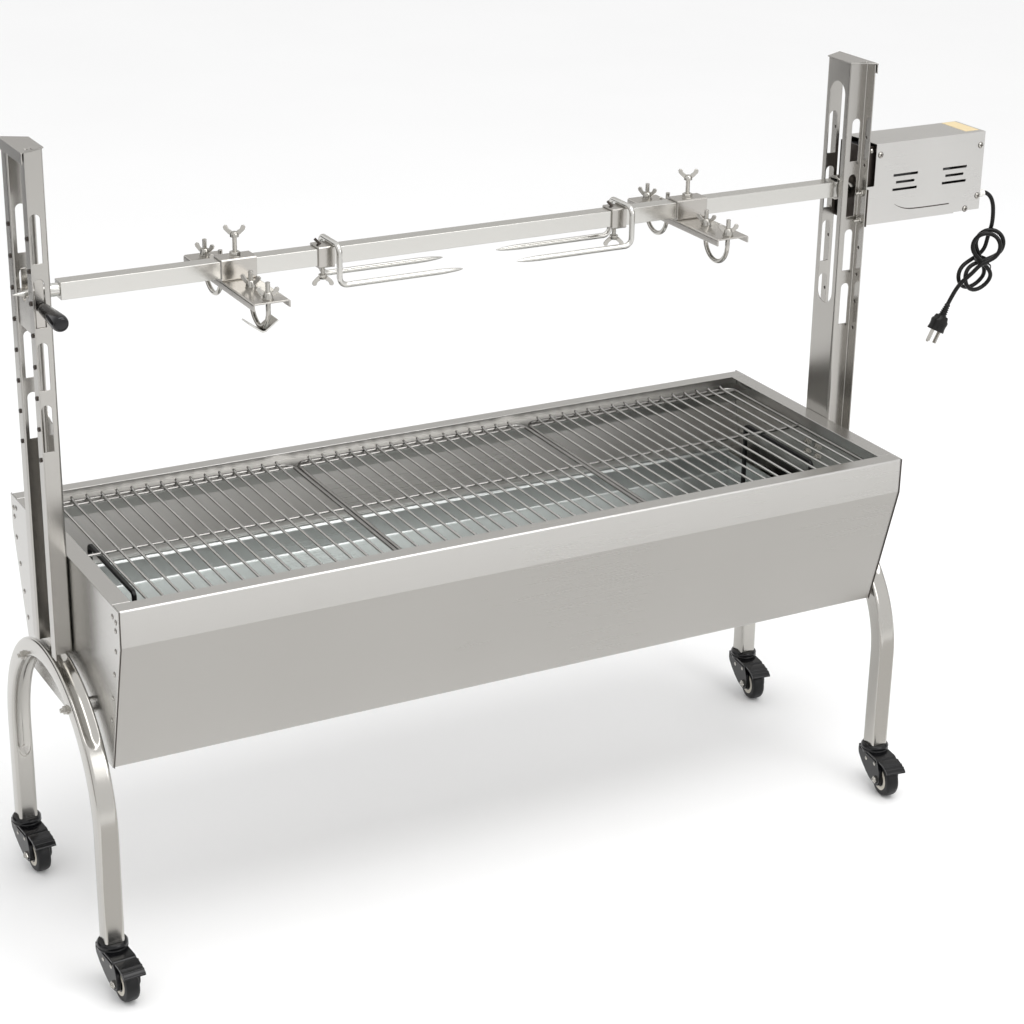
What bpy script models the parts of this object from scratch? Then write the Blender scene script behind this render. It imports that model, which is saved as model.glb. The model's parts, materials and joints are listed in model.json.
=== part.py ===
"""Rotisserie spit roaster: charcoal box on two bent-tube legs with casters, two slotted posts,
a motor-driven square spit with forks and leg clamps.  Metres, +Z up, X along the spit.

Lengths below are measured from the middle of the charcoal box; CENTRE moves the whole machine so
that the middle of its footprint box is the world origin.
"""

from math import acos, cos, pi, radians, sin, sqrt, tan

import bmesh
import bpy
from mathutils import Matrix, Vector

# Driving dimensions
CENTRE = Vector((0.10553, -0.01818, 0.0))
SHEET = 0.0015
GAP = 0.0004
INCH = 0.0254

BOX_HALF = 0.55
BOX_TOP_HALF = 0.202
BOX_BOTTOM_HALF = 0.154
RIM_Z = 0.511
BAND_Z = 0.464
BOX_BOTTOM_Z = 0.287
FLANGE = 0.022

GRATE_COUNT = 3
GRATE_WIDTH = 0.349
GRATE_GAP = 0.0016
GRATE_SHIFT = 0.002
GRATE_HALF_DEPTH = 0.1775
GRATE_ROD = 0.0050
GRATE_WIRE = 0.0034
GRATE_Z = 0.4932
WIRE_COUNT = 16

TRAY_HALF_LENGTH = 0.522
TRAY_FLOOR_HALF = 0.166
TRAY_TOP_HALF = 0.1775
TRAY_FLOOR_Z = 0.3680
TRAY_TOP_Z = 0.404
HANDLE_X = 0.490
HANDLE_HALF = 0.084
HANDLE_TOP_Z = 0.477

POST_X = 0.5520
POST_DEPTH = 0.029
POST_WEB = 0.054
POST_WIDTH = 0.087
POST_TOP_Z = 1.009
WEB_SLOT = (0.6737, 0.9817)
WEB_SLOT_WIDTH = 0.034
FLANGE_SLOT_TOP = 0.9348
FLANGE_SLOT_HEIGHT = 0.058
FLANGE_SLOT_WIDTH = 0.013
SLOT_PITCH = 3 * INCH
HOLE_TOP = 0.910
HOLE_PITCH = 1.5 * INCH
HOLE_WIDTH = 0.0046
HOLE_Y = 0.0352

TUBE = INCH
TUBE_WALL = 0.0015
LEG_X = 0.5695
LEG_Y = 0.170
LEG_BOTTOM_Z = 0.0655
CROWN_Z = 0.3852
BOLT_Y = 0.084
BOLT_Z = 0.340

WHEEL_RADIUS = 0.025
WHEEL_WIDTH = 0.018
TRAIL = 0.0365
AXLE = 0.006
LEFT_HEADING = 4
RIGHT_HEADING = -8

SPIT_Z = 0.8356
SPIT_SIDE = 0.021
SPIT_LEFT = -0.5360
JOURNAL = 0.016
SPIT_TIP = -0.5900
FORK_LEFT = -0.202
FORK_RIGHT = 0.2104
CLAMP_LEFT = -0.316
CLAMP_RIGHT = 0.321
SLEEVE = 0.027

COVER_LEFT = 0.599
COVER_RIGHT = 0.783
COVER_HALF = 0.033
COVER_STEP = 0.739
LOUVRE = 0.0033
COVER_BOTTOM = 0.7865
COVER_TOP = 0.898
EAR_TOP = 0.840
BRACKET_X = 0.5815
GLAND = (0.7834, -0.020, 0.806)

CORD = 0.006


def material(name, colour, roughness, metallic):
    made = bpy.data.materials.new(name)
    made.use_nodes = True
    shader = made.node_tree.nodes["Principled BSDF"]
    shader.inputs["Base Color"].default_value = (*colour, 1)
    shader.inputs["Roughness"].default_value = roughness
    shader.inputs["Metallic"].default_value = metallic
    return made


def add(name, mesh, finish, parent=None, place=(0, 0, 0), turn=(0, 0, 0)):
    """A named object that holds this mesh, at this place under this parent."""
    made = bpy.data.objects.new(name, mesh)
    bpy.context.scene.collection.objects.link(made)
    made.parent = parent
    made.location = place
    made.rotation_euler = turn
    if finish:
        mesh.materials.append(finish)
    return made


def pivot(name, parent, place=(0, 0, 0), turn=(0, 0, 0)):
    """An empty on a joint's axis; what moves hangs from it."""
    made = add(name, None, None, parent, place, turn)
    made.empty_display_size = 0.02
    return made


def solid(points, faces):
    """A closed mesh with its faces turned outwards."""
    shape = bmesh.new()
    made = [shape.verts.new(point) for point in points]
    for face in faces:
        shape.faces.new([made[i] for i in face])
    bmesh.ops.recalc_face_normals(shape, faces=shape.faces)
    mesh = bpy.data.meshes.new("solid")
    shape.to_mesh(mesh)
    shape.free()
    return mesh


def prism(outline, axis, low, high):
    """An outline extruded along X (0), Y (1) or Z (2); its points hold the other two coordinates."""
    points = []
    for level in (low, high):
        for a, b in outline:
            point = [a, b]
            point.insert(axis, level)
            points.append(point)
    count = len(outline)
    faces = [list(range(count)), list(range(count, 2 * count))]
    for i in range(count):
        j = (i + 1) % count
        faces.append([i, j, count + j, count + i])
    return solid(points, faces)


def block(low, high):
    outline = [(low[0], low[1]), (high[0], low[1]), (high[0], high[1]), (low[0], high[1])]
    return prism(outline, 2, low[2], high[2])


def circle(centre, radius, sides, start=0.0):
    steps = [start + 2 * pi * i / sides for i in range(sides)]
    return [(centre[0] + radius * cos(a), centre[1] + radius * sin(a)) for a in steps]


def rod(axis, centre, radius, low, high, sides=12):
    """A round bar along an axis; its flats face the other two axes."""
    outline = circle(centre, radius / cos(pi / sides), sides, pi / sides)
    return prism(outline, axis, low, high)


def obround(centre, width, low, high, steps=6, flat_bottom=False):
    """An upright slot outline with a round top and a round or flat bottom."""
    radius = width / 2
    top = [pi * i / steps for i in range(steps + 1)]
    points = [(centre + radius * cos(a), high - radius + radius * sin(a)) for a in top]
    if flat_bottom:
        return points + [(centre - radius, low), (centre + radius, low)]
    return points + [(centre - radius * cos(a), low + radius - radius * sin(a)) for a in top]


def strip(line, thickness):
    """The closed outline of a bent sheet that lies on the left of this open line."""
    line = [Vector(point) for point in line]
    sides = []
    for a, b in zip(line, line[1:]):
        along = (b - a).normalized()
        sides.append(Vector((-along.y, along.x)))
    inner = []
    for i, point in enumerate(line):
        before = sides[max(i - 1, 0)]
        after = sides[min(i, len(sides) - 1)]
        middle = (before + after).normalized()
        inner.append(point + middle * (thickness / middle.dot(before)))
    return [tuple(point) for point in line] + [tuple(point) for point in reversed(inner)]


def turned(profile, sides, ring=False):
    """A profile of (height, radius) points turned about Z.  A ring's profile is a closed loop."""
    points = []
    for height, radius in profile:
        for x, y in circle((0, 0), radius, sides, pi / sides):
            points.append((x, y, height))
    rows = len(profile)
    faces = []
    for row in range(rows if ring else rows - 1):
        a = row * sides
        b = (row + 1) % rows * sides
        for i in range(sides):
            j = (i + 1) % sides
            faces.append([a + i, a + j, b + j, b + i])
    if not ring:
        faces.append(list(range(sides)))
        faces.append(list(range((rows - 1) * sides, rows * sides)))
    return solid(points, faces)


def moved(mesh, place=(0, 0, 0), turn=(0, 0, 0)):
    """The mesh turned about the axes in degrees, then shifted."""
    spin = Matrix.Identity(4)
    for angle, axis in zip(turn, "XYZ"):
        spin = Matrix.Rotation(radians(angle), 4, axis) @ spin
    mesh.transform(Matrix.Translation(place) @ spin)
    return mesh


def swept(path, sides, radii, flat=None):
    """A bar along a path, with one radius or one for each point; flat is a fixed sideways direction."""
    path = [Vector(point) for point in path]
    if not isinstance(radii, (list, tuple)):
        radii = [radii] * len(path)
    side = Vector(flat) if flat else (path[1] - path[0]).orthogonal().normalized()
    points = []
    for i, point in enumerate(path):
        before = (point - path[max(i - 1, 0)]).normalized()
        after = (path[min(i + 1, len(path) - 1)] - point).normalized()
        along = (before + after).normalized()
        side = (side - along * side.dot(along)).normalized()
        other = along.cross(side)
        stretch = 1.0
        if 0 < i < len(path) - 1:
            stretch = 1 / max(sqrt((1 + before.dot(after)) / 2), 0.5)
        for a, b in circle((0, 0), radii[i], sides, pi / sides):
            wide = b * stretch if flat else b
            points.append(point + side * a + other * wide)
    faces = [list(range(sides)), list(range((len(path) - 1) * sides, len(path) * sides))]
    for row in range(len(path) - 1):
        a = row * sides
        b = a + sides
        for i in range(sides):
            j = (i + 1) % sides
            faces.append([a + i, a + j, b + j, b + i])
    return solid(points, faces)


def rounded(corners, radius, steps=3):
    """An open path through these corners, each of the inner ones turned with an arc."""
    corners = [Vector(point) for point in corners]
    path = [corners[0]]
    for a, b, c in zip(corners, corners[1:], corners[2:]):
        back = (a - b).normalized()
        ahead = (c - b).normalized()
        half = acos(back.dot(ahead)) / 2
        reach = radius / tan(half)
        centre = b + (back + ahead).normalized() * (radius / sin(half))
        start = b + back * reach - centre
        end = b + ahead * reach - centre
        sweep = pi - 2 * half
        for i in range(steps + 1):
            share = i / steps
            mix = start * sin((1 - share) * sweep) + end * sin(share * sweep)
            path.append(centre + mix / sin(sweep))
    return path + [corners[-1]]


def helper(mesh, group):
    made = bpy.data.objects.new("cutter", mesh)
    group.objects.link(made)
    made.hide_render = True
    made.display_type = "WIRE"
    return made


def fused(first, more=(), cuts=()):
    """One mesh: the first solid joined with more of them, less the cutters."""
    scene = bpy.context.scene.collection
    base = bpy.data.objects.new("blank", first)
    scene.objects.link(base)
    groups = []
    for operation, meshes in (("UNION", more), ("DIFFERENCE", cuts)):
        if not meshes:
            continue
        group = bpy.data.collections.new(operation)
        scene.children.link(group)
        for mesh in meshes:
            helper(mesh, group)
        step = base.modifiers.new(operation, "BOOLEAN")
        step.operation = operation
        step.operand_type = "COLLECTION"
        step.collection = group
        groups.append(group)
    bpy.context.view_layer.update()
    graph = bpy.context.evaluated_depsgraph_get()
    mesh = bpy.data.meshes.new_from_object(base.evaluated_get(graph))
    bpy.data.objects.remove(base)
    for group in groups:
        for member in list(group.objects):
            bpy.data.objects.remove(member)
        bpy.data.collections.remove(group)
    mesh.materials.clear()
    return mesh


def box_side(z, inset=0.0):
    """Half width of the charcoal box at a height, less an inset."""
    if z >= BAND_Z:
        return BOX_TOP_HALF - inset
    share = (z - BOX_BOTTOM_Z) / (BAND_Z - BOX_BOTTOM_Z)
    return BOX_BOTTOM_HALF + share * (BOX_TOP_HALF - BOX_BOTTOM_HALF) - inset


def box_outline():
    half = [(BOX_TOP_HALF, RIM_Z), (BOX_TOP_HALF, BAND_Z), (BOX_BOTTOM_HALF, BOX_BOTTOM_Z)]
    return half + [(-y, z) for y, z in reversed(half)]


def firebox_shell():
    """Front, bottom and back in one bent sheet, with ledges for the grates and the tray."""
    edge = BOX_TOP_HALF - FLANGE
    line = [(edge, RIM_Z)] + box_outline() + [(-edge, RIM_Z)]
    half = BOX_HALF - GAP
    body = prism(strip(line, -SHEET), 0, -half, half)
    ledges = []
    grate_ledge = (GRATE_Z - GAP, 0.0005, 0.166)
    tray_ledge = (TRAY_FLOOR_Z - GAP, 0.0009, 0.155)
    for side in (-1, 1):
        for top, reach, inner in (grate_ledge, tray_ledge):
            outer = box_side(top) - reach
            low = (-half + 0.004, min(side * inner, side * outer), top - SHEET)
            high = (half - 0.004, max(side * inner, side * outer), top)
            ledges.append(block(low, high))
    return fused(body, ledges)


def end_panel(side):
    """Flat end of the box with its top flange and two pads where the leg arch bolts on."""
    inner = BOX_HALF
    outer = BOX_HALF + SHEET
    panel = prism(box_outline(), 0, *sorted((side * inner, side * outer)))
    edge = BOX_TOP_HALF - FLANGE - 2 * GAP
    reach = side * (BOX_HALF - FLANGE)
    flange_x = sorted((reach, side * (inner + SHEET / 2)))
    more = [block((flange_x[0], -edge, RIM_Z - SHEET), (flange_x[1], edge, RIM_Z))]
    pad_x = sorted((side * (inner + SHEET / 2), side * (LEG_X - TUBE / 2 - GAP)))
    for y in (-BOLT_Y, BOLT_Y):
        more.append(rod(0, (y, BOLT_Z), 0.010, *pad_x))
    return fused(panel, more)


def charcoal_tray():
    """Shallow pan whose sides flare and end in an outward rim."""
    rim = 0.006
    outline = [
        (TRAY_TOP_HALF, TRAY_TOP_Z - rim),
        (TRAY_TOP_HALF - rim / 2, TRAY_TOP_Z),
        (TRAY_TOP_HALF - rim, TRAY_TOP_Z - rim / 2),
        (TRAY_FLOOR_HALF, TRAY_FLOOR_Z),
    ]
    line = outline + [(-y, z) for y, z in reversed(outline)]
    side_walls = prism(strip(line, -SHEET), 0, -TRAY_HALF_LENGTH, TRAY_HALF_LENGTH)
    wall_top = TRAY_TOP_Z - rim
    width = TRAY_TOP_HALF - rim - 0.0008
    end = [
        (width, wall_top),
        (TRAY_FLOOR_HALF - 0.0008, TRAY_FLOOR_Z + 0.0004),
        (-TRAY_FLOOR_HALF + 0.0008, TRAY_FLOOR_Z + 0.0004),
        (-width, wall_top),
    ]
    ends = []
    for side in (-1, 1):
        reach = sorted((side * (TRAY_HALF_LENGTH - 0.0005), side * (TRAY_HALF_LENGTH - 0.0025)))
        ends.append(prism(end, 0, *reach))
    return fused(side_walls, ends)


def tray_handle(side):
    """Black flat-bar handle standing on the tray floor."""
    foot_z = TRAY_FLOOR_Z + SHEET + GAP
    slope = 0.006
    corners = [
        (HANDLE_HALF, foot_z),
        (HANDLE_HALF, HANDLE_TOP_Z - slope),
        (HANDLE_HALF - slope, HANDLE_TOP_Z),
        (-HANDLE_HALF + slope, HANDLE_TOP_Z),
        (-HANDLE_HALF, HANDLE_TOP_Z - slope),
        (-HANDLE_HALF, foot_z),
    ]
    outline = strip(corners, 0.006)
    width = 0.005
    centre = side * HANDLE_X
    bar = prism(outline, 0, centre - width / 2, centre + width / 2)
    feet = []
    for y in (-HANDLE_HALF, HANDLE_HALF):
        inward = -0.016 if y > 0 else 0.016
        span = sorted((y, y + inward))
        low = (centre - width / 2 - 0.004, span[0], foot_z)
        feet.append(block(low, (centre + width / 2 + 0.004, span[1], foot_z + 0.003)))
    return fused(bar, feet)


def grate():
    """Wires front to back over a frame rod and a middle rod."""
    half = GRATE_WIDTH / 2 - GRATE_ROD / 2
    depth = GRATE_HALF_DEPTH - GRATE_ROD / 2
    z = GRATE_ROD / 2
    corner = 0.016
    loop = [(half, -depth), (half, depth - corner), (half - corner, depth)]
    loop = loop + [(-x, y) for x, y in reversed(loop)]
    count = len(loop)
    frame = [Vector((*loop[i], 0)) for i in range(count)]
    sides = []
    for i in range(count):
        before = (frame[i] - frame[i - 1]).normalized()
        after = (frame[(i + 1) % count] - frame[i]).normalized()
        out = (Vector((before.y, -before.x, 0)) + Vector((after.y, -after.x, 0))).normalized()
        sides.append(out / out.dot(Vector((before.y, -before.x, 0))))
    points = []
    for shift, height in ((1, -1), (1, 1), (-1, 1), (-1, -1)):
        for i in range(count):
            at = frame[i] + sides[i] * shift * GRATE_ROD / 2
            points.append((at.x, at.y, z + height * GRATE_ROD / 2))
    faces = []
    for row in range(4):
        a = row * count
        b = (row + 1) % 4 * count
        for i in range(count):
            j = (i + 1) % count
            faces.append([a + i, a + j, b + j, b + i])
    pieces = []
    wire_z = GRATE_ROD + GRATE_WIRE / 2 - 0.0012
    pitch = 2 * half / (WIRE_COUNT + 1)
    for i in range(WIRE_COUNT):
        x = -half + (i + 1) * pitch
        reach = depth + 0.0004
        low = (x - GRATE_WIRE / 2, -reach, wire_z - GRATE_WIRE / 2)
        pieces.append(block(low, (x + GRATE_WIRE / 2, reach, wire_z + GRATE_WIRE / 2)))
    low = (-half - 0.0004, -0.002, z - 0.0014)
    pieces.append(block(low, (half + 0.0004, 0.002, z + 0.0019)))
    return fused(solid(points, faces), pieces)


def post(side):
    """Hat-section post: web against the box end, lips outward, slots and holes for the height."""
    lip_x = POST_X + POST_DEPTH
    line = [
        (side * (lip_x - SHEET), -POST_WIDTH / 2),
        (side * (lip_x - SHEET), -POST_WEB / 2 + SHEET),
        (side * (POST_X + SHEET), -POST_WEB / 2 + SHEET),
        (side * (POST_X + SHEET), POST_WEB / 2 - SHEET),
        (side * (lip_x - SHEET), POST_WEB / 2 - SHEET),
        (side * (lip_x - SHEET), POST_WIDTH / 2),
    ]
    body = prism(hat_outline(line, side), 2, CROWN_Z + GAP, POST_TOP_Z)
    through_web = sorted((side * (POST_X - 0.0012), side * (POST_X + 0.004)))
    through_lip = sorted((side * (lip_x - 0.003), side * (lip_x + 0.002)))
    cuts = [prism(obround(0, WEB_SLOT_WIDTH, *WEB_SLOT, steps=8), 0, *through_web)]
    slot_x = side * (POST_X + POST_DEPTH / 2)
    for i in range(4):
        top = FLANGE_SLOT_TOP - i * SLOT_PITCH
        outline = obround(slot_x, FLANGE_SLOT_WIDTH, top - FLANGE_SLOT_HEIGHT, top, 6, True)
        cuts.append(prism(outline, 1, -0.035, 0.035))
    for i in range(8):
        for y in (-HOLE_Y, HOLE_Y):
            centre = (y, HOLE_TOP - i * HOLE_PITCH)
            cuts.append(rod(0, centre, HOLE_WIDTH / 2, *through_lip, 6))
    return fused(body, (), cuts)


def hat_outline(line, side):
    """The sheet lies towards the box web side of the hat line."""
    return strip(line, SHEET if side > 0 else -SHEET)


def post_cap(side):
    """Plate over the open top of a post with a skirt down its outer side."""
    inner = POST_X - 0.0008
    outer = POST_X + POST_DEPTH + GAP
    low = POST_TOP_Z + GAP
    plan = [
        (side * inner, -POST_WEB / 2),
        (side * (outer + SHEET), -POST_WIDTH / 2 - 0.0005),
        (side * (outer + SHEET), POST_WIDTH / 2 + 0.0005),
        (side * inner, POST_WEB / 2),
    ]
    plate = prism(plan, 2, low, low + SHEET)
    skirt_x = sorted((side * outer, side * (outer + SHEET)))
    half = POST_WIDTH / 2 + 0.0005
    skirt = block((skirt_x[0], -half, low - 0.012), (skirt_x[1], half, low + SHEET / 2))
    return fused(plate, [skirt])


def leg_arch():
    """Square tube bent to an upside-down U, open at both feet."""
    bend = LEG_Y
    centre_z = CROWN_Z - TUBE / 2 - bend
    steps = 18
    path = [Vector((0, -LEG_Y, LEG_BOTTOM_Z))]
    for i in range(steps + 1):
        a = pi * i / steps
        path.append(Vector((0, -bend * cos(a), centre_z + bend * sin(a))))
    path.append(Vector((0, LEG_Y, LEG_BOTTOM_Z)))
    points = []
    for i, point in enumerate(path):
        before = (point - path[max(i - 1, 0)]).normalized()
        after = (path[min(i + 1, len(path) - 1)] - point).normalized()
        along = (before + after).normalized()
        out = Vector((0, along.z, -along.y))
        for half in (TUBE / 2, TUBE / 2 - TUBE_WALL):
            for a, b in ((-1, -1), (1, -1), (1, 1), (-1, 1)):
                points.append(point + Vector((a * half, 0, 0)) + out * b * half)
    faces = []
    for row in range(len(path) - 1):
        a = 8 * row
        b = a + 8
        for i in range(4):
            j = (i + 1) % 4
            faces.append([a + i, a + j, b + j, b + i])
            faces.append([a + 4 + i, b + 4 + i, b + 4 + j, a + 4 + j])
    for a in (0, 8 * (len(path) - 1)):
        for i in range(4):
            j = (i + 1) % 4
            faces.append([a + i, a + 4 + i, a + 4 + j, a + j])
    return solid(points, faces)


def caster_housing():
    """Swivel housing: collar and stem, two cheeks round the wheel, and the axle across them."""
    side_view = [
        (0.0175, 0.0560), (0.0175, 0.0440), (-0.0080, 0.0240), (-0.0290, 0.0165),
        (-0.0410, 0.0165), (-0.0460, 0.0230), (-0.0440, 0.0390), (-0.0360, 0.0535), (-0.0330, 0.0560),
    ]
    half = 0.0155
    body = prism(side_view, 0, -half, half)
    collar = turned([(0.0535, 0.0175), (0.0565, 0.0190), (0.0625, 0.0190), (0.0651, 0.0165)], 16)
    stem = rod(2, (0, 0), 0.0080, 0.0640, 0.0950, 8)
    axle = rod(0, (-TRAIL, WHEEL_RADIUS), AXLE / 2, -half - 0.003, half + 0.002, 8)
    wheel_room = rod(0, (-TRAIL, WHEEL_RADIUS), WHEEL_RADIUS + 0.0012, -0.0098, 0.0098, 20)
    below = block((-0.0098, -0.075, 0.005), (0.0098, -TRAIL + 0.0262, 0.026))
    shell = fused(body, (), [wheel_room, below])
    return fused(shell, [collar, stem, axle])


def caster_wheel():
    """Round tyre on a hub, bored for the axle; its axis is X through the origin."""
    sides = 20
    radius = WHEEL_RADIUS / cos(pi / sides)
    bore = AXLE / 2 + 0.0008
    half = WHEEL_WIDTH / 2
    edge = 0.003
    profile = [
        (-half, bore), (-half, radius - edge), (-half + edge, radius),
        (half - edge, radius), (half, radius - edge), (half, bore),
    ]
    return moved(turned(profile, sides, True), turn=(0, 90, 0))


def brake_pedal():
    """Foot lever in front of the housing; it tips about X through the origin."""
    outline = [
        (-0.0008, 0.0010), (-0.0008, -0.0022), (-0.0120, -0.0032), (-0.0260, -0.0090),
        (-0.0285, -0.0085), (-0.0270, -0.0040), (-0.0120, 0.0008),
    ]
    return prism(outline, 0, -0.0145, 0.0145)


def spit_rod():
    """Square bar with a round journal and a point at its left end."""
    half = SPIT_SIDE / 2
    square = prism([(-half, -half), (half, -half), (half, half), (-half, half)], 0, SPIT_LEFT, 0.5780)
    end = SPIT_LEFT + 0.006
    journal = -0.5610
    profile = [(SPIT_TIP, 0.0006), (journal, JOURNAL / 2), (end, JOURNAL / 2)]
    point = moved(turned(profile, 16), turn=(0, 90, 0))
    return fused(square, [point])


def drive_socket():
    """Round socket with a square bore on the motor's shaft."""
    half = SPIT_SIDE / 2 + GAP
    body = rod(0, (0, 0), 0.0165, 0.5565, 0.5806, 16)
    shaft = rod(0, (0, 0), 0.006, 0.5800, 0.5860, 12)
    bore = prism([(-half, -half), (half, -half), (half, half), (-half, half)], 0, 0.5500, 0.5786)
    return fused(body, [shaft], [bore])


def square_sleeve(inner, outer, low, high):
    body = prism([(-outer, -outer), (outer, -outer), (outer, outer), (-outer, outer)], 0, low, high)
    reach = 0.01
    hole = [(-inner, -inner), (inner, -inner), (inner, inner), (-inner, inner)]
    bore = prism(hole, 0, low - reach, high + reach)
    return body, bore


def fork(way):
    """Collar on the spit with a bent rod over it whose two ends are the prongs; way is +1 towards +X."""
    outer = SLEEVE / 2
    body, bore = square_sleeve(SPIT_SIDE / 2 + GAP, outer, -0.0105, 0.0105)
    screw_hole = rod(2, (0, 0), 0.0034, -outer - 0.01, -0.006, 8)
    radius = 0.0036
    spread = 0.028
    over = outer + radius - 0.0006
    under = -0.033
    rod_x = 0.010
    length = 0.168
    prong = [(rod_x + way * length, spread, under), (rod_x + way * (length - 0.036), spread, under)]
    corners = [
        (rod_x, spread, under), (rod_x, spread, over), (rod_x, -spread, over), (rod_x, -spread, under),
    ]
    last = [(x, -y, z) for x, y, z in reversed(prong)]
    path = rounded([prong[1]] + corners + [last[0]], 0.010)
    path = [Vector(prong[0])] + path + [Vector(last[1])]
    radii = [0.0006] + [radius] * (len(path) - 2) + [0.0006]
    bent = swept(path, 8, radii)
    return fused(body, [bent], [bore, screw_hole])


def wing_screw(length, wing=0.0125):
    """Thumb screw along -Z from the origin: shank, then a hub with two raised wings."""
    shank = rod(2, (0, 0), 0.0030, -length, 0, 8)
    hub = turned([(-length - 0.0055, 0.0042), (-length - 0.002, 0.0056), (-length + 0.0005, 0.0056)], 10)
    wings = []
    for side in (-1, 1):
        outline = [
            (side * 0.003, -length - 0.0010),
            (side * (wing - 0.002), -length - 0.0085),
            (side * wing, -length - 0.0135),
            (side * (wing - 0.0055), -length - 0.0125),
            (side * 0.003, -length - 0.0055),
        ]
        wings.append(prism(outline, 1, -0.0013, 0.0013))
    return fused(shank, [hub] + wings)


def wing_nut():
    """Wing nut that sits on Z = 0, bored for the U-bolt's leg."""
    hub = turned([(0, 0.0065), (0.0045, 0.0056), (0.0085, 0.0047)], 10)
    wings = []
    for side in (-1, 1):
        outline = [
            (side * 0.0045, 0.0010), (side * 0.0120, 0.0080), (side * 0.0135, 0.0140),
            (side * 0.0085, 0.0135), (side * 0.0042, 0.0060),
        ]
        wings.append(prism(outline, 1, -0.0012, 0.0012))
    bore = rod(2, (0, 0), 0.0034, -0.005, 0.020, 8)
    return fused(hub, wings, [bore])


def leg_clamp():
    """Sleeve on the spit welded to a channel plate that carries two U-bolts."""
    outer = SLEEVE / 2
    half = 0.0225
    body, bore = square_sleeve(SPIT_SIDE / 2 + GAP, outer, -half, half)
    top = -outer + 0.0004
    plate_half = 0.0235
    line = [
        (plate_half, top - 0.009), (plate_half, top), (-plate_half, top), (-plate_half, top - 0.009),
    ]
    plate = prism(strip(line, 0.002), 1, -0.1125, 0.1125)
    nut = turned([(outer - 0.0004, 0.0068), (outer + 0.005, 0.0068)], 6)
    screw_hole = rod(2, (0, 0), 0.0034, 0.006, 0.030, 8)
    holes = []
    for side in (-1, 1):
        for y in (0.048, 0.100):
            holes.append(rod(2, (0, side * y), 0.0036, -0.030, -0.005, 8))
    return fused(body, [plate, nut], [bore, screw_hole] + holes)


def u_bolt():
    """Bent rod in the YZ plane, its bend below and its legs 52 mm apart about the origin."""
    radius = 0.0030
    bend = 0.026
    steps = 10
    path = [(0, -bend, 0.0075)]
    for i in range(steps + 1):
        a = pi * i / steps
        path.append((0, -bend * cos(a), -0.0276 - bend * sin(a)))
    path.append((0, bend, 0.0075))
    return swept(path, 8, radius, (1, 0, 0))


def saddle():
    """V-shaped jaw hung under the bend of a U-bolt."""
    line = [(0.018, 0.0131), (0.0, 0.0), (-0.018, 0.0131)]
    return prism(strip(line, 0.002), 1, -0.011, 0.011)


def motor_cover():
    """Sheet cover: front, back, top and right end, with ears that run to the post below."""
    inner = COVER_HALF - SHEET
    left_ear = BRACKET_X + 0.0028
    shape = [
        (left_ear, COVER_BOTTOM), (COVER_STEP, COVER_BOTTOM), (COVER_STEP, COVER_BOTTOM + 0.0015),
        (COVER_RIGHT, COVER_BOTTOM + 0.0015), (COVER_RIGHT, COVER_TOP), (COVER_LEFT, COVER_TOP),
        (COVER_LEFT, EAR_TOP), (left_ear, EAR_TOP),
    ]
    body = prism(shape, 1, -COVER_HALF, COVER_HALF)
    low = (0.5700, -inner, COVER_BOTTOM - 0.01)
    hollow = block(low, (COVER_RIGHT - SHEET, inner, COVER_TOP - SHEET))
    cuts = [hollow]
    for group in (0.6512, 0.7350):
        for row, width in enumerate((0.041, 0.031, 0.041)):
            z = 0.8515 - row * 0.0100
            for side in (-1, 1):
                y = sorted((side * (COVER_HALF + 0.01), side * (inner - 0.01)))
                low = (group - width / 2, y[0], z - LOUVRE / 2)
                cuts.append(block(low, (group + width / 2, y[1], z + LOUVRE / 2)))
    x, y, z = GLAND
    cuts.append(rod(0, (y, z), 0.0052, COVER_RIGHT - 0.01, COVER_RIGHT + 0.01, 12))
    return fused(body, (), cuts)


def motor_base():
    """Bracket behind the cover: a plate against the post's lips and a floor under the motor."""
    plate = block((BRACKET_X, -0.0425, COVER_BOTTOM + 0.001), (BRACKET_X + 0.002, 0.0425, EAR_TOP - 0.001))
    inner = COVER_HALF - SHEET - 2 * GAP
    upper = block((BRACKET_X, -0.026, EAR_TOP - 0.002), (BRACKET_X + 0.002, 0.026, COVER_TOP - 0.004))
    floor_top = COVER_BOTTOM + 0.0045
    floor = block((BRACKET_X + 0.001, -inner, floor_top - 0.002), (COVER_RIGHT - 0.003, inner, floor_top))
    cheeks = []
    for side in (-1, 1):
        y = sorted((side * 0.026, side * 0.024))
        cheeks.append(block((BRACKET_X + 0.001, y[0], floor_top - 0.001), (0.612, y[1], COVER_TOP - 0.004)))
    shaft_hole = rod(0, (0, SPIT_Z), 0.008, BRACKET_X - 0.01, BRACKET_X + 0.01, 12)
    return fused(plate, [upper, floor] + cheeks, [shaft_hole])


def gear_motor():
    """Gearbox at the shaft with the motor can behind it."""
    z = SPIT_Z
    gearbox = block((0.5868, -0.022, COVER_BOTTOM + 0.0055), (0.640, 0.022, COVER_TOP - 0.008))
    can = rod(0, (0, z + 0.004), 0.024, 0.6390, 0.735, 14)
    tail = rod(0, (0, z + 0.004), 0.007, 0.7340, 0.742, 10)
    return fused(gearbox, [can, tail])


def spit_rest():
    """Carrier inside the left post with an open notch for the spit's journal."""
    x = (-0.5770, -0.5585)
    half = 0.0240
    low = SPIT_Z - 0.043
    body = block((x[0], -half, low), (x[1], half, SPIT_Z))
    room = JOURNAL / 2 + GAP
    notch = rod(0, (0, SPIT_Z), room, x[0] - 0.01, x[1] + 0.01, 16)
    return fused(body, (), [notch])


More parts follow.
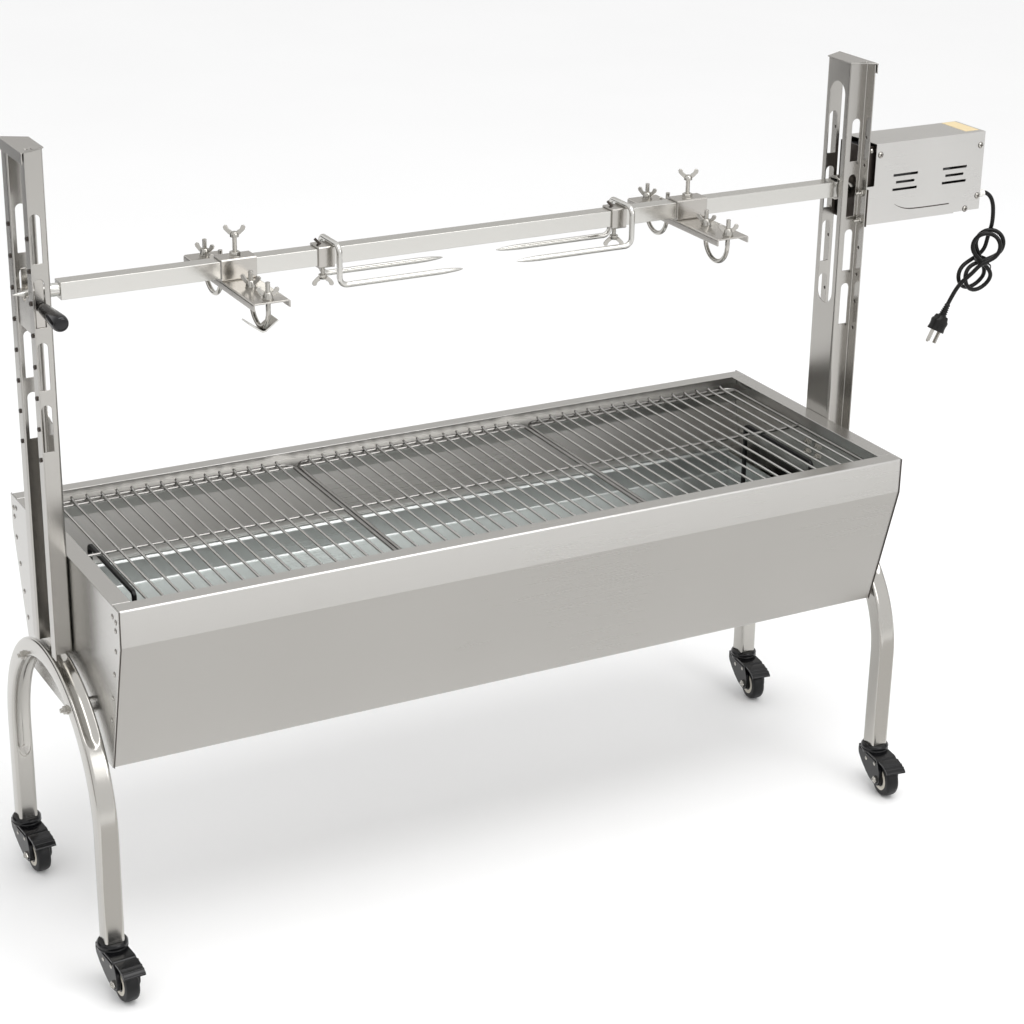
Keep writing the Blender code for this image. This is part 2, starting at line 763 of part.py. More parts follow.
def rest_knob():
    """Black grip on the front of the left post; its axis is Y through the origin, outward is -Y."""
    profile = [
        (-0.0030, 0.0045), (0.0, 0.0060), (0.0010, 0.0072), (0.0300, 0.0086),
        (0.0560, 0.0102), (0.0625, 0.0090), (0.0655, 0.0055),
    ]
    return moved(turned(profile, 14), turn=(90, 0, 0))


def cord_gland():
    """White bushing in the cover's end; the cord leaves its face."""
    profile = [(-0.0060, 0.0048), (0.0004, 0.0048), (0.0004, 0.0072), (0.0040, 0.0072), (0.0160, 0.0050)]
    return moved(turned(profile, 12), turn=(0, 90, 0))


# Cord: hand-picked route points from the gland to the hank and from the hank to the plug
LEAD_ROUTE = [
    (0.8006, -0.0200, 0.8060),
    (0.8070, -0.0200, 0.8055),
    (0.8120, -0.0201, 0.8010),
    (0.8165, -0.0203, 0.7940),
    (0.8190, -0.0206, 0.7850),
    (0.8198, -0.0209, 0.7750),
    (0.8198, -0.0212, 0.7650),
    (0.8194, -0.0214, 0.7560),
]
TAIL_ROUTE = [
    (0.7752, -0.0171, 0.6758),
    (0.7705, -0.0163, 0.6696),
    (0.7660, -0.0157, 0.6620),
    (0.7618, -0.0152, 0.6542),
    (0.7582, -0.0150, 0.6472),
]


def smooth_route(route, step):
    """Points every step along a smooth curve through the route's own points."""
    route = [Vector(point) for point in route]
    ends = [2 * route[0] - route[1]] + route + [2 * route[-1] - route[-2]]
    fine = []
    for a, b, c, d in zip(ends, ends[1:], ends[2:], ends[3:]):
        for i in range(20):
            t = i / 20
            straight = 2 * b + (c - a) * t
            bent = (2 * a - 5 * b + 4 * c - d) * t ** 2 + (3 * b - a - 3 * c + d) * t ** 3
            fine.append((straight + bent) / 2)
    fine.append(route[-1])
    length = sum((b - a).length for a, b in zip(fine, fine[1:]))
    count = max(2, round(length / step))
    picked = [fine[0]]
    travelled = 0.0
    for a, b in zip(fine, fine[1:]):
        span = (b - a).length
        while len(picked) < count and travelled + span >= length * len(picked) / count - 1e-9:
            share = (length * len(picked) / count - travelled) / span
            picked.append(a + (b - a) * share)
        travelled += span
    return picked + [fine[-1]]


def cord_tube(name, route, finish, parent, place):
    curve = bpy.data.curves.new(name, "CURVE")
    curve.dimensions = "3D"
    curve.bevel_depth = CORD / 2
    curve.bevel_resolution = 2
    curve.use_fill_caps = True
    points = smooth_route(route, 2 * CORD)
    line = curve.splines.new("POLY")
    line.points.add(len(points) - 1)
    for held, point in zip(line.points, points):
        held.co = (*point, 1)
    return add(name, curve, finish, parent, place)


def cord_hank():
    """Outer shape of the tied cord bundle: a slab with round ends, upright in its own XZ plane."""
    upper = 0.0225
    lower = 0.0205
    length = 0.0905
    arc = [pi * i / 10 for i in range(11)]
    outline = [(upper * cos(a), length / 2 - upper + upper * sin(a)) for a in arc]
    outline += [(-lower * cos(a), -length / 2 + lower - lower * sin(a)) for a in arc]
    return prism(outline, 1, -0.0125, 0.0125)


def plug():
    """Three-pin plug; the cord enters at the origin and the pins point along -Z."""
    sleeve = turned([(0, 0.0040), (-0.0060, 0.0046), (-0.0180, 0.0062)][::-1], 12)
    neck = 0.0085
    wide = 0.0125
    outline = [
        (-neck, -0.0170), (neck, -0.0170), (wide, -0.0230),
        (wide, -0.0400), (-wide, -0.0400), (-wide, -0.0230),
    ]
    body = prism(outline, 1, -neck, neck)
    pins = [
        block((-0.0072, -0.0050, -0.0570), (-0.0056, 0.0014, -0.0390)),
        block((0.0056, -0.0050, -0.0570), (0.0072, 0.0014, -0.0390)),
        rod(2, (0, 0.0060), 0.0024, -0.0590, -0.0390, 8),
    ]
    return fused(body, [sleeve] + pins)


for old in list(bpy.data.objects):
    bpy.data.objects.remove(old)

steel = material("brushed stainless sheet", (0.62, 0.61, 0.59), 0.34, 1.0)
post_steel = material("post sheet", (0.55, 0.54, 0.52), 0.32, 1.0)
tube_steel = material("satin tube", (0.60, 0.58, 0.56), 0.30, 1.0)
tray_steel = material("tray sheet", (0.58, 0.59, 0.58), 0.38, 1.0)
wire_chrome = material("chromed wire", (0.80, 0.80, 0.80), 0.16, 1.0)
spit_steel = material("polished spit bar", (0.70, 0.69, 0.66), 0.24, 1.0)
fitting_steel = material("bright fittings", (0.66, 0.65, 0.63), 0.22, 1.0)
cover_steel = material("motor cover sheet", (0.64, 0.63, 0.61), 0.34, 1.0)
dark_steel = material("dark bracket", (0.16, 0.15, 0.14), 0.45, 0.8)
motor_grey = material("motor can", (0.30, 0.30, 0.31), 0.40, 0.9)
handle_black = material("black enamel", (0.015, 0.015, 0.015), 0.38, 0.0)
housing_black = material("caster housing", (0.014, 0.014, 0.015), 0.30, 0.0)
tyre_black = material("caster tyre", (0.020, 0.020, 0.021), 0.45, 0.0)
knob_black = material("knob grip", (0.012, 0.012, 0.013), 0.22, 0.0)
gland_white = material("white bushing", (0.80, 0.80, 0.78), 0.40, 0.0)
cord_black = material("cord jacket", (0.018, 0.018, 0.019), 0.42, 0.0)

roaster = pivot("roaster", None, -CENTRE)

# Charcoal box
add("firebox_shell", firebox_shell(), steel, roaster)
for side, word in ((-1, "left"), (1, "right")):
    add("end_panel_" + word, end_panel(side), steel, roaster)
    add("tray_handle_" + word, tray_handle(side), handle_black, roaster)
    add("post_" + word, post(side), post_steel, roaster)
    add("post_cap_" + word, post_cap(side), post_steel, roaster)
    add("leg_arch_" + word, leg_arch(), tube_steel, roaster, (side * LEG_X, 0, 0))
add("charcoal_tray", charcoal_tray(), tray_steel, roaster)
for i, word in enumerate(("left", "middle", "right")):
    x = GRATE_SHIFT + (i - 1) * (GRATE_WIDTH + GRATE_GAP)
    add("grate_" + word, grate(), wire_chrome, roaster, (x, 0, GRATE_Z))

# Casters: an empty on each swivel axis carries the housing, the wheel and the pedal
for side, word in ((-1, "left"), (1, "right")):
    for end, where in ((-1, "front"), (1, "back")):
        heading = LEFT_HEADING if side < 0 else RIGHT_HEADING
        foot = (side * LEG_X, end * LEG_Y, 0)
        swivel = pivot(f"swivel_{where}_{word}", roaster, foot, (0, 0, radians(heading)))
        add(f"caster_housing_{where}_{word}", caster_housing(), housing_black, swivel)
        add(f"caster_wheel_{where}_{word}", caster_wheel(), tyre_black, swivel, (0, -TRAIL, WHEEL_RADIUS))
        add(f"brake_pedal_{where}_{word}", brake_pedal(), housing_black, swivel, (0, -0.0385, 0.0545))

# Motor carriage on the right post
carriage = pivot("motor_carriage", roaster)
add("motor_base", motor_base(), dark_steel, carriage)
add("motor_cover", motor_cover(), cover_steel, carriage)
add("gear_motor", gear_motor(), motor_grey, carriage)
add("cord_gland", cord_gland(), gland_white, carriage, GLAND)
hank_place = Vector((0.8070, -0.0214, 0.7090))
hank_turn = (0, radians(15.5), radians(-30))
cord_tube("cord_lead", LEAD_ROUTE, cord_black, carriage, (0, 0, 0))
add("cord_hank", cord_hank(), cord_black, carriage, hank_place, hank_turn)
cord_tube("cord_tail", TAIL_ROUTE, cord_black, carriage, (0, 0, 0))
add("plug", plug(), cord_black, carriage, (0.7575, -0.0150, 0.6458), (0, radians(27), 0))

# Spit and what turns with it
spit = pivot("spit_axis", carriage, (0, 0, SPIT_Z))
add("drive_socket", drive_socket(), fitting_steel, spit)
add("spit_rod", spit_rod(), spit_steel, spit)
for word, x, way in (("left", FORK_LEFT, 1), ("right", FORK_RIGHT, -1)):
    holder = add("fork_" + word, fork(way), fitting_steel, spit, (x, 0, 0))
    place = (0, 0, -SPIT_SIDE / 2 - GAP)
    turn = (0, 0, radians(-20))
    add("fork_screw_" + word, wing_screw(0.0145, 0.0130), fitting_steel, holder, place, turn)
for word, x in (("left", CLAMP_LEFT), ("right", CLAMP_RIGHT)):
    clamp = add("leg_clamp_" + word, leg_clamp(), fitting_steel, spit, (x, 0, 0))
    place = (0, 0, SPIT_SIDE / 2 + GAP)
    add("clamp_bolt_" + word, wing_screw(0.0260), fitting_steel, clamp, place, (pi, 0, radians(-25)))
    nut_z = -SLEEVE / 2 + 0.0004 + GAP
    for side, where in ((-1, "front"), (1, "back")):
        bolt = add(f"u_bolt_{where}_{word}", u_bolt(), fitting_steel, clamp, (0, side * 0.074, 0))
        for leg, name in ((-0.026, "a"), (0.026, "b")):
            turn = (0, 0, radians(-25 if leg < 0 else -50))
            add(f"wing_nut_{where}_{word}_{name}", wing_nut(), fitting_steel, bolt, (0, leg, nut_z), turn)
add("saddle_left", saddle(), fitting_steel, bpy.data.objects["u_bolt_front_left"], (0, 0, -0.0577))

# Spit rest on the left post
rest = pivot("rest_carriage", roaster)
add("spit_rest", spit_rest(), fitting_steel, rest)
add("rest_knob", rest_knob(), knob_black, rest, (-0.5640, -0.0315, SPIT_Z - 0.0110))
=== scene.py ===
import json
from math import acos, cos, pi, radians, sin, sqrt, tan

import bmesh
import bpy
from mathutils import Matrix, Vector

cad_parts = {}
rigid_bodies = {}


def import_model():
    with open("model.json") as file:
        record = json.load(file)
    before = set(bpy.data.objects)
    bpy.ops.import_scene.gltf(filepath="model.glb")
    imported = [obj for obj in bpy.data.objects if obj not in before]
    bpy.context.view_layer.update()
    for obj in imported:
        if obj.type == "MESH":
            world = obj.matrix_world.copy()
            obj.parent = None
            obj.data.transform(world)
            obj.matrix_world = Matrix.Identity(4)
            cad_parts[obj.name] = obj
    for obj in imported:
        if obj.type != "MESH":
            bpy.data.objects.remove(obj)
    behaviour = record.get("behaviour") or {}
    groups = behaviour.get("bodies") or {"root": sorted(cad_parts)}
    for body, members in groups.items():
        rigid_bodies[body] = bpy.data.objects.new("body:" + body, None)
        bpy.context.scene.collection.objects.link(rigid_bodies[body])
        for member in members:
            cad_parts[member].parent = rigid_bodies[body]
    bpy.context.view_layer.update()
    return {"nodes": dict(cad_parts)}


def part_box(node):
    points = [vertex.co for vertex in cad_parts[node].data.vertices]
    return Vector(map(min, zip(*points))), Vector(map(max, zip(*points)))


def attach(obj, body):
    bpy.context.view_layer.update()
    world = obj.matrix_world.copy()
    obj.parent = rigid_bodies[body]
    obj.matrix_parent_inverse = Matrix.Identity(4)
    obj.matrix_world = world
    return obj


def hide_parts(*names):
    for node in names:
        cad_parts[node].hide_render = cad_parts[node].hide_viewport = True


print("loading the frame")
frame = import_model()

shellLow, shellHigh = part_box("firebox_shell")
home = (shellLow + shellHigh) / 2  # middle of the charcoal box, brought down to the floor
home.z = 0


def at(x, y, z):  # a place measured from the middle of the charcoal box
    return home + Vector((x, y, z))


# degrees and millimetres of lens; the place is measured from the middle of the box
camera = {
    "place": (-1.3361, -2.5788, 1.6594),
    "yaw": 28.544,
    "pitch": 22.436,
    "roll": 0.934,
    "lens": 83.93,
}


def setCamera():
    made = linked("camera", bpy.data.cameras.new("camera"))
    made.data.lens = camera["lens"]
    made.data.sensor_width = 36
    yaw, pitch, roll = (radians(camera[key]) for key in ("yaw", "pitch", "roll"))
    ahead = Vector((sin(yaw) * cos(pitch), cos(yaw) * cos(pitch), -sin(pitch)))
    right = Vector((cos(yaw), -sin(yaw), 0))
    up = right.cross(ahead)
    side = right * cos(roll) + up * sin(roll)
    top = up * cos(roll) - right * sin(roll)
    turn = Matrix((side, top, -ahead)).transposed().to_4x4()
    made.matrix_world = placed(*camera["place"]) @ turn
    bpy.context.scene.camera = made


def linked(name, data):  # a new object in the scene
    made = bpy.data.objects.new(name, data)
    bpy.context.scene.collection.objects.link(made)
    return made


def placed(x, y, z):
    return Matrix.Translation(at(x, y, z))


def moved(x, y, z):
    return Matrix.Translation((x, y, z))


def spun(degrees, axis):
    return Matrix.Rotation(radians(degrees), 4, axis)


def span(side, near, far):  # two levels on one side of the middle, the lower first
    return sorted((side * near, side * far))


class Wire:  # an output socket that sums, differences and products can be written with
    def __init__(self, tree, socket=None):
        self.tree = tree
        self.socket = socket

    def node(self, kind, settings=None, values=None, out=0):
        made = self.tree.nodes.new("ShaderNode" + kind)
        for key, value in (settings or {}).items():
            setattr(made, key, value)
        for key, value in (values or {}).items():
            if isinstance(value, Wire):
                self.tree.links.new(value.socket, made.inputs[key])
            else:
                made.inputs[key].default_value = value
        return Wire(self.tree, made.outputs[out])

    def maths(self, operation, other, swapped=False):
        pair = (other, self) if swapped else (self, other)
        return self.node("Math", {"operation": operation}, dict(enumerate(pair)))

    def __add__(self, other):
        return self.maths("ADD", other)

    def __radd__(self, other):
        return self.maths("ADD", other, True)

    def __sub__(self, other):
        return self.maths("SUBTRACT", other)

    def __rsub__(self, other):
        return self.maths("SUBTRACT", other, True)

    def __mul__(self, other):
        return self.maths("MULTIPLY", other)

    def __rmul__(self, other):
        return self.maths("MULTIPLY", other, True)


def newMaterial(name, constants):
    made = bpy.data.materials.new(name)
    made.use_nodes = True
    tree = made.node_tree
    shader = tree.nodes["Principled BSDF"]
    for key, value in constants.items():
        shader.inputs[key].default_value = value
    return made, Wire(tree), shader


def feed(wire, shader, key):
    wire.tree.links.new(wire.socket, shader.inputs[key])


def noise(base, place, scale, detail=2.0, roughness=0.5):
    values = {"Vector": place, "Scale": scale, "Detail": detail, "Roughness": roughness}
    return base.node("TexNoise", None, values)


def stretched(base, scale):
    place = base.node("TexCoord", None, None, 3)
    return base.node("VectorMath", {"operation": "MULTIPLY"}, {0: place, 1: scale})


def mixed(base, share, first, second):
    settings = {"data_type": "RGBA"}
    return base.node("Mix", settings, {0: share, 6: (*first, 1), 7: (*second, 1)}, 2)


def bumped(base, height, strength, depth):
    return base.node("Bump", None, {"Strength": strength, "Distance": depth, "Height": height})


def brushedMetal(name, look):
    made, base, shader = newMaterial(name, {"Metallic": 1.0})
    scale = [look["across"]] * 3
    scale[look["grain"]] = look["along"]
    fine = noise(base, stretched(base, scale), 1.0, 3.0, 0.6)
    soft = noise(base, stretched(base, (1, 1, 1)), look["patch"])
    light = look["colour"]
    dark = tuple(c * look["shade"] for c in light)
    share = fine * 0.25 + soft * 0.75
    feed(mixed(base, share, dark, light), shader, "Base Color")
    gloss = look["roughness"] + (fine - 0.5) * look["streak"] + (soft - 0.5) * look["smudge"]
    feed(gloss, shader, "Roughness")
    feed(bumped(base, fine, look["bump"], 0.0003), shader, "Normal")
    return made


def plainFinish(name, look):
    constants = {"Metallic": look.get("metallic", 0.0), "Specular IOR Level": look.get("specular", 0.5)}
    made, base, shader = newMaterial(name, constants)
    fine = noise(base, stretched(base, (1, 1, 1)), look["scale"], 3.0, 0.6)
    soft = noise(base, stretched(base, (1, 1, 1)), look["patch"])
    light = look["colour"]
    dark = tuple(c * look["shade"] for c in light)
    feed(mixed(base, soft, dark, light), shader, "Base Color")
    gloss = look["roughness"] + (fine - 0.5) * look["streak"] + (soft - 0.5) * look["smudge"]
    feed(gloss, shader, "Roughness")
    feed(bumped(base, fine, look["bump"], 0.0003), shader, "Normal")
    return made


sheetLook = {
    "colour": (0.585, 0.575, 0.555),
    "shade": 0.90,
    "roughness": 0.30,
    "grain": 0,
    "along": 6,
    "across": 700,
    "patch": 3,
    "streak": 0.08,
    "smudge": 0.10,
    "bump": 0.02,
}


def sheetFinish(name, **changes):
    return brushedMetal(name, {**sheetLook, **changes})


finishes = {
    "boxSheet": brushedMetal("box sheet", sheetLook),
    "endSheet": sheetFinish("end sheet", grain=2, roughness=0.25, streak=0.05),
    "coverSheet": sheetFinish("cover sheet", colour=(0.64, 0.63, 0.61), patch=14),
    # the same steel as the box, painted darker for the posts and their caps: painted shade
    "postSheetShaded": sheetFinish("post sheet", grain=2, colour=(0.47, 0.455, 0.43), roughness=0.24),
    # the same steel as the box, painted darker for the leg tubes: painted shade
    "legTubeShaded": sheetFinish("leg tube, painted darker", grain=2, colour=(0.52, 0.505, 0.475), roughness=0.17),
    "traySheet": sheetFinish("tray sheet", colour=(0.57, 0.59, 0.58), roughness=0.30),
    "spitBar": sheetFinish("spit bar", colour=(0.64, 0.63, 0.60), roughness=0.20),
    "clampSheet": sheetFinish("clamp sheet", grain=1, colour=(0.50, 0.48, 0.45), roughness=0.20),
    "wireChrome": plainFinish("chromed wire", {
        "colour": (0.58, 0.57, 0.55), "shade": 0.74, "roughness": 0.16, "metallic": 1.0,
        "scale": 260, "patch": 30, "streak": 0.12, "smudge": 0.10, "bump": 0.04,
    }),
    # the wire chrome painted darker for the grate frame rods: painted shade
    "rodChromeShaded": plainFinish("chromed rod, painted darker", {
        "colour": (0.36, 0.35, 0.335), "shade": 0.66, "roughness": 0.20, "metallic": 1.0,
        "scale": 260, "patch": 30, "streak": 0.12, "smudge": 0.10, "bump": 0.04,
    }),
    "brightSteel": plainFinish("bright steel", {
        "colour": (0.58, 0.56, 0.52), "shade": 0.60, "roughness": 0.15, "metallic": 1.0,
        "scale": 420, "patch": 60, "streak": 0.14, "smudge": 0.12, "bump": 0.07,
    }),
    # real dark steel for the motor base and the fork stubs, and also the colour of painted shade in seams,
    # holes, the slit and round rivets and screws
    "darkSteelAndShade": plainFinish("dark steel and painted shade", {
        "colour": (0.10, 0.085, 0.075), "shade": 0.55, "roughness": 0.34, "metallic": 0.85,
        "scale": 300, "patch": 25, "streak": 0.16, "smudge": 0.22, "bump": 0.08,
    }),
    "motorGrey": plainFinish("motor grey", {
        "colour": (0.16, 0.16, 0.165), "shade": 0.7, "roughness": 0.45, "metallic": 0.9,
        "scale": 500, "patch": 40, "streak": 0.2, "smudge": 0.1, "bump": 0.15,
    }),
    "blackEnamel": plainFinish("black enamel", {
        "colour": (0.006, 0.006, 0.006), "shade": 0.5, "roughness": 0.32, "specular": 0.30,
        "scale": 600, "patch": 40, "streak": 0.12, "smudge": 0.12, "bump": 0.10,
    }),
    "casterBlack": plainFinish("caster moulding", {
        "colour": (0.005, 0.005, 0.006), "shade": 0.5, "roughness": 0.20, "specular": 0.36,
        "scale": 700, "patch": 60, "streak": 0.10, "smudge": 0.14, "bump": 0.06,
    }),
    "tyreBlack": plainFinish("tyre", {
        "colour": (0.009, 0.009, 0.010), "shade": 0.5, "roughness": 0.40, "specular": 0.30,
        "scale": 900, "patch": 80, "streak": 0.14, "smudge": 0.16, "bump": 0.12,
    }),
    "hubCream": plainFinish("cream hub", {
        "colour": (0.62, 0.58, 0.50), "shade": 0.80, "roughness": 0.36,
        "scale": 500, "patch": 90, "streak": 0.10, "smudge": 0.12, "bump": 0.05,
    }),
    "knobBlack": plainFinish("knob grip", {
        "colour": (0.004, 0.004, 0.005), "shade": 0.6, "roughness": 0.10, "specular": 0.45,
        "scale": 300, "patch": 40, "streak": 0.05, "smudge": 0.08, "bump": 0.02,
    }),
    "nylon": plainFinish("white nylon", {
        "colour": (0.78, 0.77, 0.74), "shade": 0.90, "roughness": 0.34,
        "scale": 400, "patch": 60, "streak": 0.08, "smudge": 0.08, "bump": 0.05,
    }),
    "cordBlack": plainFinish("cord jacket", {
        "colour": (0.006, 0.0055, 0.005), "shade": 0.5, "roughness": 0.32, "specular": 0.26,
        "scale": 800, "patch": 50, "streak": 0.12, "smudge": 0.12, "bump": 0.10,
    }),
    "sticker": plainFinish("blank sticker", {
        "colour": (0.66, 0.53, 0.30), "shade": 0.92, "roughness": 0.40,
        "scale": 300, "patch": 60, "streak": 0.08, "smudge": 0.08, "bump": 0.03,
    }),
}


stageLook = {
    "reach": 9.0, "pale": (0.93, 0.93, 0.93), "shaded": (0.90, 0.90, 0.90), "patch": 1.5, "world": 1.0,
}


def setStage():
    made, base, shader = newMaterial("pale floor", {"Roughness": 0.85})
    soft = noise(base, stretched(base, (1, 1, 1)), stageLook["patch"])
    feed(mixed(base, soft, stageLook["shaded"], stageLook["pale"]), shader, "Base Color")
    reach = stageLook["reach"]
    corners = [(-reach, -reach), (reach, -reach), (reach, reach), (-reach, reach)]
    mesh = bpy.data.meshes.new("floor")
    mesh.from_pydata([(x, y, 0) for x, y in corners], [], [(0, 1, 2, 3)])
    floor = linked("floor", mesh)
    mesh.materials.append(made)
    world = bpy.data.worlds.new("studio")
    world.use_nodes = True
    background = world.node_tree.nodes["Background"]
    background.inputs["Color"].default_value = (1, 1, 1, 1)
    background.inputs["Strength"].default_value = stageLook["world"]
    bpy.context.scene.world = world
    bpy.context.scene.view_settings.view_transform = "Standard"


def areaLight(name, place, aim, size, power):
    data = bpy.data.lights.new(name, "AREA")
    data.shape = "RECTANGLE"
    data.size, data.size_y = size
    data.energy = power
    made = linked(name, data)
    made.location = at(*place)
    made.rotation_euler = (at(*aim) - made.location).to_track_quat("-Z", "Y").to_euler()


def reflector(name, place, aim, size, shade):  # a card that only the metal sees
    constants = {"Base Color": (0, 0, 0, 1), "Roughness": 1.0, "Emission Strength": 1.0}
    made, _, shader = newMaterial(name, constants)
    shader.inputs["Emission Color"].default_value = (shade, shade * 0.985, shade * 0.96, 1)
    wide, tall = size[0] / 2, size[1] / 2
    mesh = bpy.data.meshes.new(name)
    corners = [(-wide, -tall, 0), (wide, -tall, 0), (wide, tall, 0), (-wide, tall, 0)]
    mesh.from_pydata(corners, [], [(0, 1, 2, 3)])
    mesh.materials.append(made)
    card = linked(name, mesh)
    card.location = at(*place)
    card.rotation_euler = (at(*aim) - card.location).to_track_quat("-Z", "Y").to_euler()
    for sight in ("visible_camera", "visible_diffuse", "visible_shadow", "visible_transmission"):
        setattr(card, sight, False)


lights = [
    ("top softbox", (0.2, -0.9, 3.0), (0.1, 0.1, 0.4), (2.4, 1.8), 42),
    ("front softbox", (1.2, -3.0, 2.2), (0.1, 0, 0.5), (1.6, 1.2), 16),
]
cards = [
    ("dark card behind on the left", (-2.2, 1.7, 0.45), (-0.4, 0, 0.6), (2.6, 1.3), 0.10),
    ("grey card on the floor in front", (0.5, -0.72, 0.004), (0.5, -0.72, 1.0), (2.6, 0.9), 0.80),
    ("grey card high behind", (1.3, 2.6, 1.7), (0.2, 0, 0.5), (4.4, 1.9), 0.66),
    ("grey card on the left", (-2.4, -0.9, 0.5), (0, 0, 0.5), (1.0, 1.6), 0.45),
    ("dark card far on the right", (3.2, -0.6, 0.9), (0.5, 0, 0.8), (0.7, 2.2), 0.12),
]
print("setting the camera, floor and lights")
setCamera()
setStage()
for name, place, aim, size, power in lights:
    areaLight(name, place, aim, size, power)
for name, place, aim, size, shade in cards:
    reflector(name, place, aim, size, shade)


class Form:  # gathers the faces of one piece
    def __init__(self):
        self.points = []
        self.faces = []

    def add(self, points, faces, place=None):
        start = len(self.points)
        for point in points:
            point = Vector(point)
            self.points.append(place @ point if place else point)
        self.faces += [[start + i for i in face] for face in faces]
        return self

    def prism(self, outline, axis, low, high, place=None):  # the outline holds the other two coordinates
        points = []
        for level in (low, high):
            for a, b in outline:
                point = [a, b]
                point.insert(axis, level)
                points.append(point)
        count = len(outline)
        area = sum(a[0] * b[1] - b[0] * a[1] for a, b in zip(outline, outline[1:] + outline[:1]))
        out = ((area > 0) == (axis != 1)) == (high > low)
        ends = [list(range(count))[:: -1 if out else 1], list(range(count, 2 * count))[:: 1 if out else -1]]
        sides = []
        for i in range(count):
            j = (i + 1) % count
            side = [i, j, count + j, count + i]
            sides.append(side if out else side[::-1])
        return self.add(points, ends + sides, place)

    def box(self, low, high, place=None):
        outline = [(low[0], low[1]), (high[0], low[1]), (high[0], high[1]), (low[0], high[1])]
        return self.prism(outline, 2, low[2], high[2], place)

    def skin(self, points, sides, place=None, closed=False):  # rows of points joined one to the next
        rows = len(points) // sides
        faces = []
        for row in range(rows if closed else rows - 1):
            a = row * sides
            b = (row + 1) % rows * sides
            for i in range(sides):
                j = (i + 1) % sides
                faces.append([a + i, a + j, b + j, b + i])
        if not closed:
            faces.append(list(range(sides))[::-1])
            faces.append(list(range((rows - 1) * sides, rows * sides)))
        return self.add(points, faces, place)

    def lathe(self, profile, sides, place=None, ring=False):  # (height, radius) points turned about Z
        points = []
        for height, radius in profile:
            for i in range(sides):
                a = 2 * pi * (i + 0.5) / sides
                points.append((radius * cos(a), radius * sin(a), height))
        return self.skin(points, sides, place, ring)

    def sweep(self, path, outline, place=None, side=None, closed=False, sizes=None):
        path = [Vector(point) for point in path]
        count = len(path)
        ahead = (path[1] - path[0]).normalized()
        across = Vector(side) if side else ahead.orthogonal()
        points = []
        for i, point in enumerate(path):
            before = (point - path[i - 1]).normalized() if i or closed else ahead
            after = (path[(i + 1) % count] - point).normalized() if i < count - 1 or closed else before
            along = (before + after).normalized()
            across = (across - along * across.dot(along)).normalized()
            other = along.cross(across)
            size = sizes[i] if sizes else 1.0
            for a, b in outline:
                points.append(point + across * a * size + other * b * size)
        return self.skin(points, len(outline), place, closed)

    def loft(self, loops, place=None):
        return self.skin([point for loop in loops for point in loop], len(loops[0]), place)

    def sleeve(self, outer, inner, low, high, place=None):  # a tube along X between two matching outlines
        count = len(outer)
        points = []
        for level in (low, high):
            for loop in (outer, inner):
                points += [(level, a, b) for a, b in loop]
        faces = []
        for i in range(count):
            j = (i + 1) % count
            a, b, c, d = (row * count for row in range(4))
            faces.append([a + i, a + j, c + j, c + i])
            faces.append([b + j, b + i, d + i, d + j])
            faces.append([a + j, a + i, b + i, b + j])
            faces.append([c + i, c + j, d + j, d + i])
        return self.add(points, faces, place)

    def dome(self, radius, height, sides, place=None):  # a rivet or screw head on Z = 0
        rows = [(height * sin(radians(a)), radius * cos(radians(a))) for a in (0, 25, 50, 72, 86)]
        return self.lathe(rows, sides, place)

    def thread(self, radius, low, high, pitch, sides=12, place=None):  # a threaded rod along Z
        rows = []
        steps = max(1, round((high - low) / pitch))
        for i in range(steps):
            start = low + (high - low) * i / steps
            rows += [(start, radius * 0.84), (start + (high - low) / steps * 0.5, radius)]
        rows.append((high, radius * 0.80))
        return self.lathe(rows, sides, place)

    def mesh(self):
        shape = bmesh.new()
        made = [shape.verts.new(point) for point in self.points]
        for face in self.faces:
            shape.faces.new([made[i] for i in face])
        bmesh.ops.recalc_face_normals(shape, faces=shape.faces)
        mesh = bpy.data.meshes.new("piece")
        shape.to_mesh(mesh)
        shape.free()
        return mesh


def ring(radius, sides):
    steps = [2 * pi * i / sides for i in range(sides)]
    return [(radius * cos(a), radius * sin(a)) for a in steps]


def roundedBox(wide, tall, radius, steps=4):  # an outline with its corners rounded
    points = []
    for cornerX, cornerY, start in ((1, 1, 0), (-1, 1, 90), (-1, -1, 180), (1, -1, 270)):
        for i in range(steps + 1):
            a = radians(start + 90 * i / steps)
            x = cornerX * (wide / 2 - radius) + radius * cos(a)
            y = cornerY * (tall / 2 - radius) + radius * sin(a)
            points.append((x, y))
    return points


def roundPath(corners, radius, steps=6):  # an open path whose inner corners are arcs
    corners = [Vector(point) for point in corners]
    path = [corners[0]]
    for a, b, c in zip(corners, corners[1:], corners[2:]):
        back = (a - b).normalized()
        onward = (c - b).normalized()
        half = acos(max(-1, min(1, back.dot(onward)))) / 2
        reach = radius / tan(half)
        centre = b + (back + onward).normalized() * (radius / sin(half))
        start = b + back * reach - centre
        end = b + onward * reach - centre
        sweep = pi - 2 * half
        for i in range(steps + 1):
            share = i / steps
            mix = start * sin((1 - share) * sweep) + end * sin(share * sweep)
            path.append(centre + mix / sin(sweep))
    return path + [corners[-1]]


def shifted(outline, x, y):
    return [(a + x, b + y) for a, b in outline]


def foldedSheet(corners, thickness, radius, steps=4):  # outline of a bent sheet on the left of its corners
    line = [Vector((*point, 0)) for point in corners]
    return sheetOutline(roundPath(line, radius, steps) if radius else line, thickness)


def sheetOutline(middle, thickness):
    inner = []
    for i, point in enumerate(middle):
        before = point - middle[max(i - 1, 0)] if i else middle[1] - point
        after = middle[i + 1] - point if i < len(middle) - 1 else before
        along = (before.normalized() + after.normalized()).normalized()
        bend = max(along.dot(before.normalized()), 0.5)
        inner.append(point + Vector((-along.y, along.x, 0)) * (thickness / bend))
    return [(p.x, p.y) for p in middle] + [(p.x, p.y) for p in reversed(inner)]


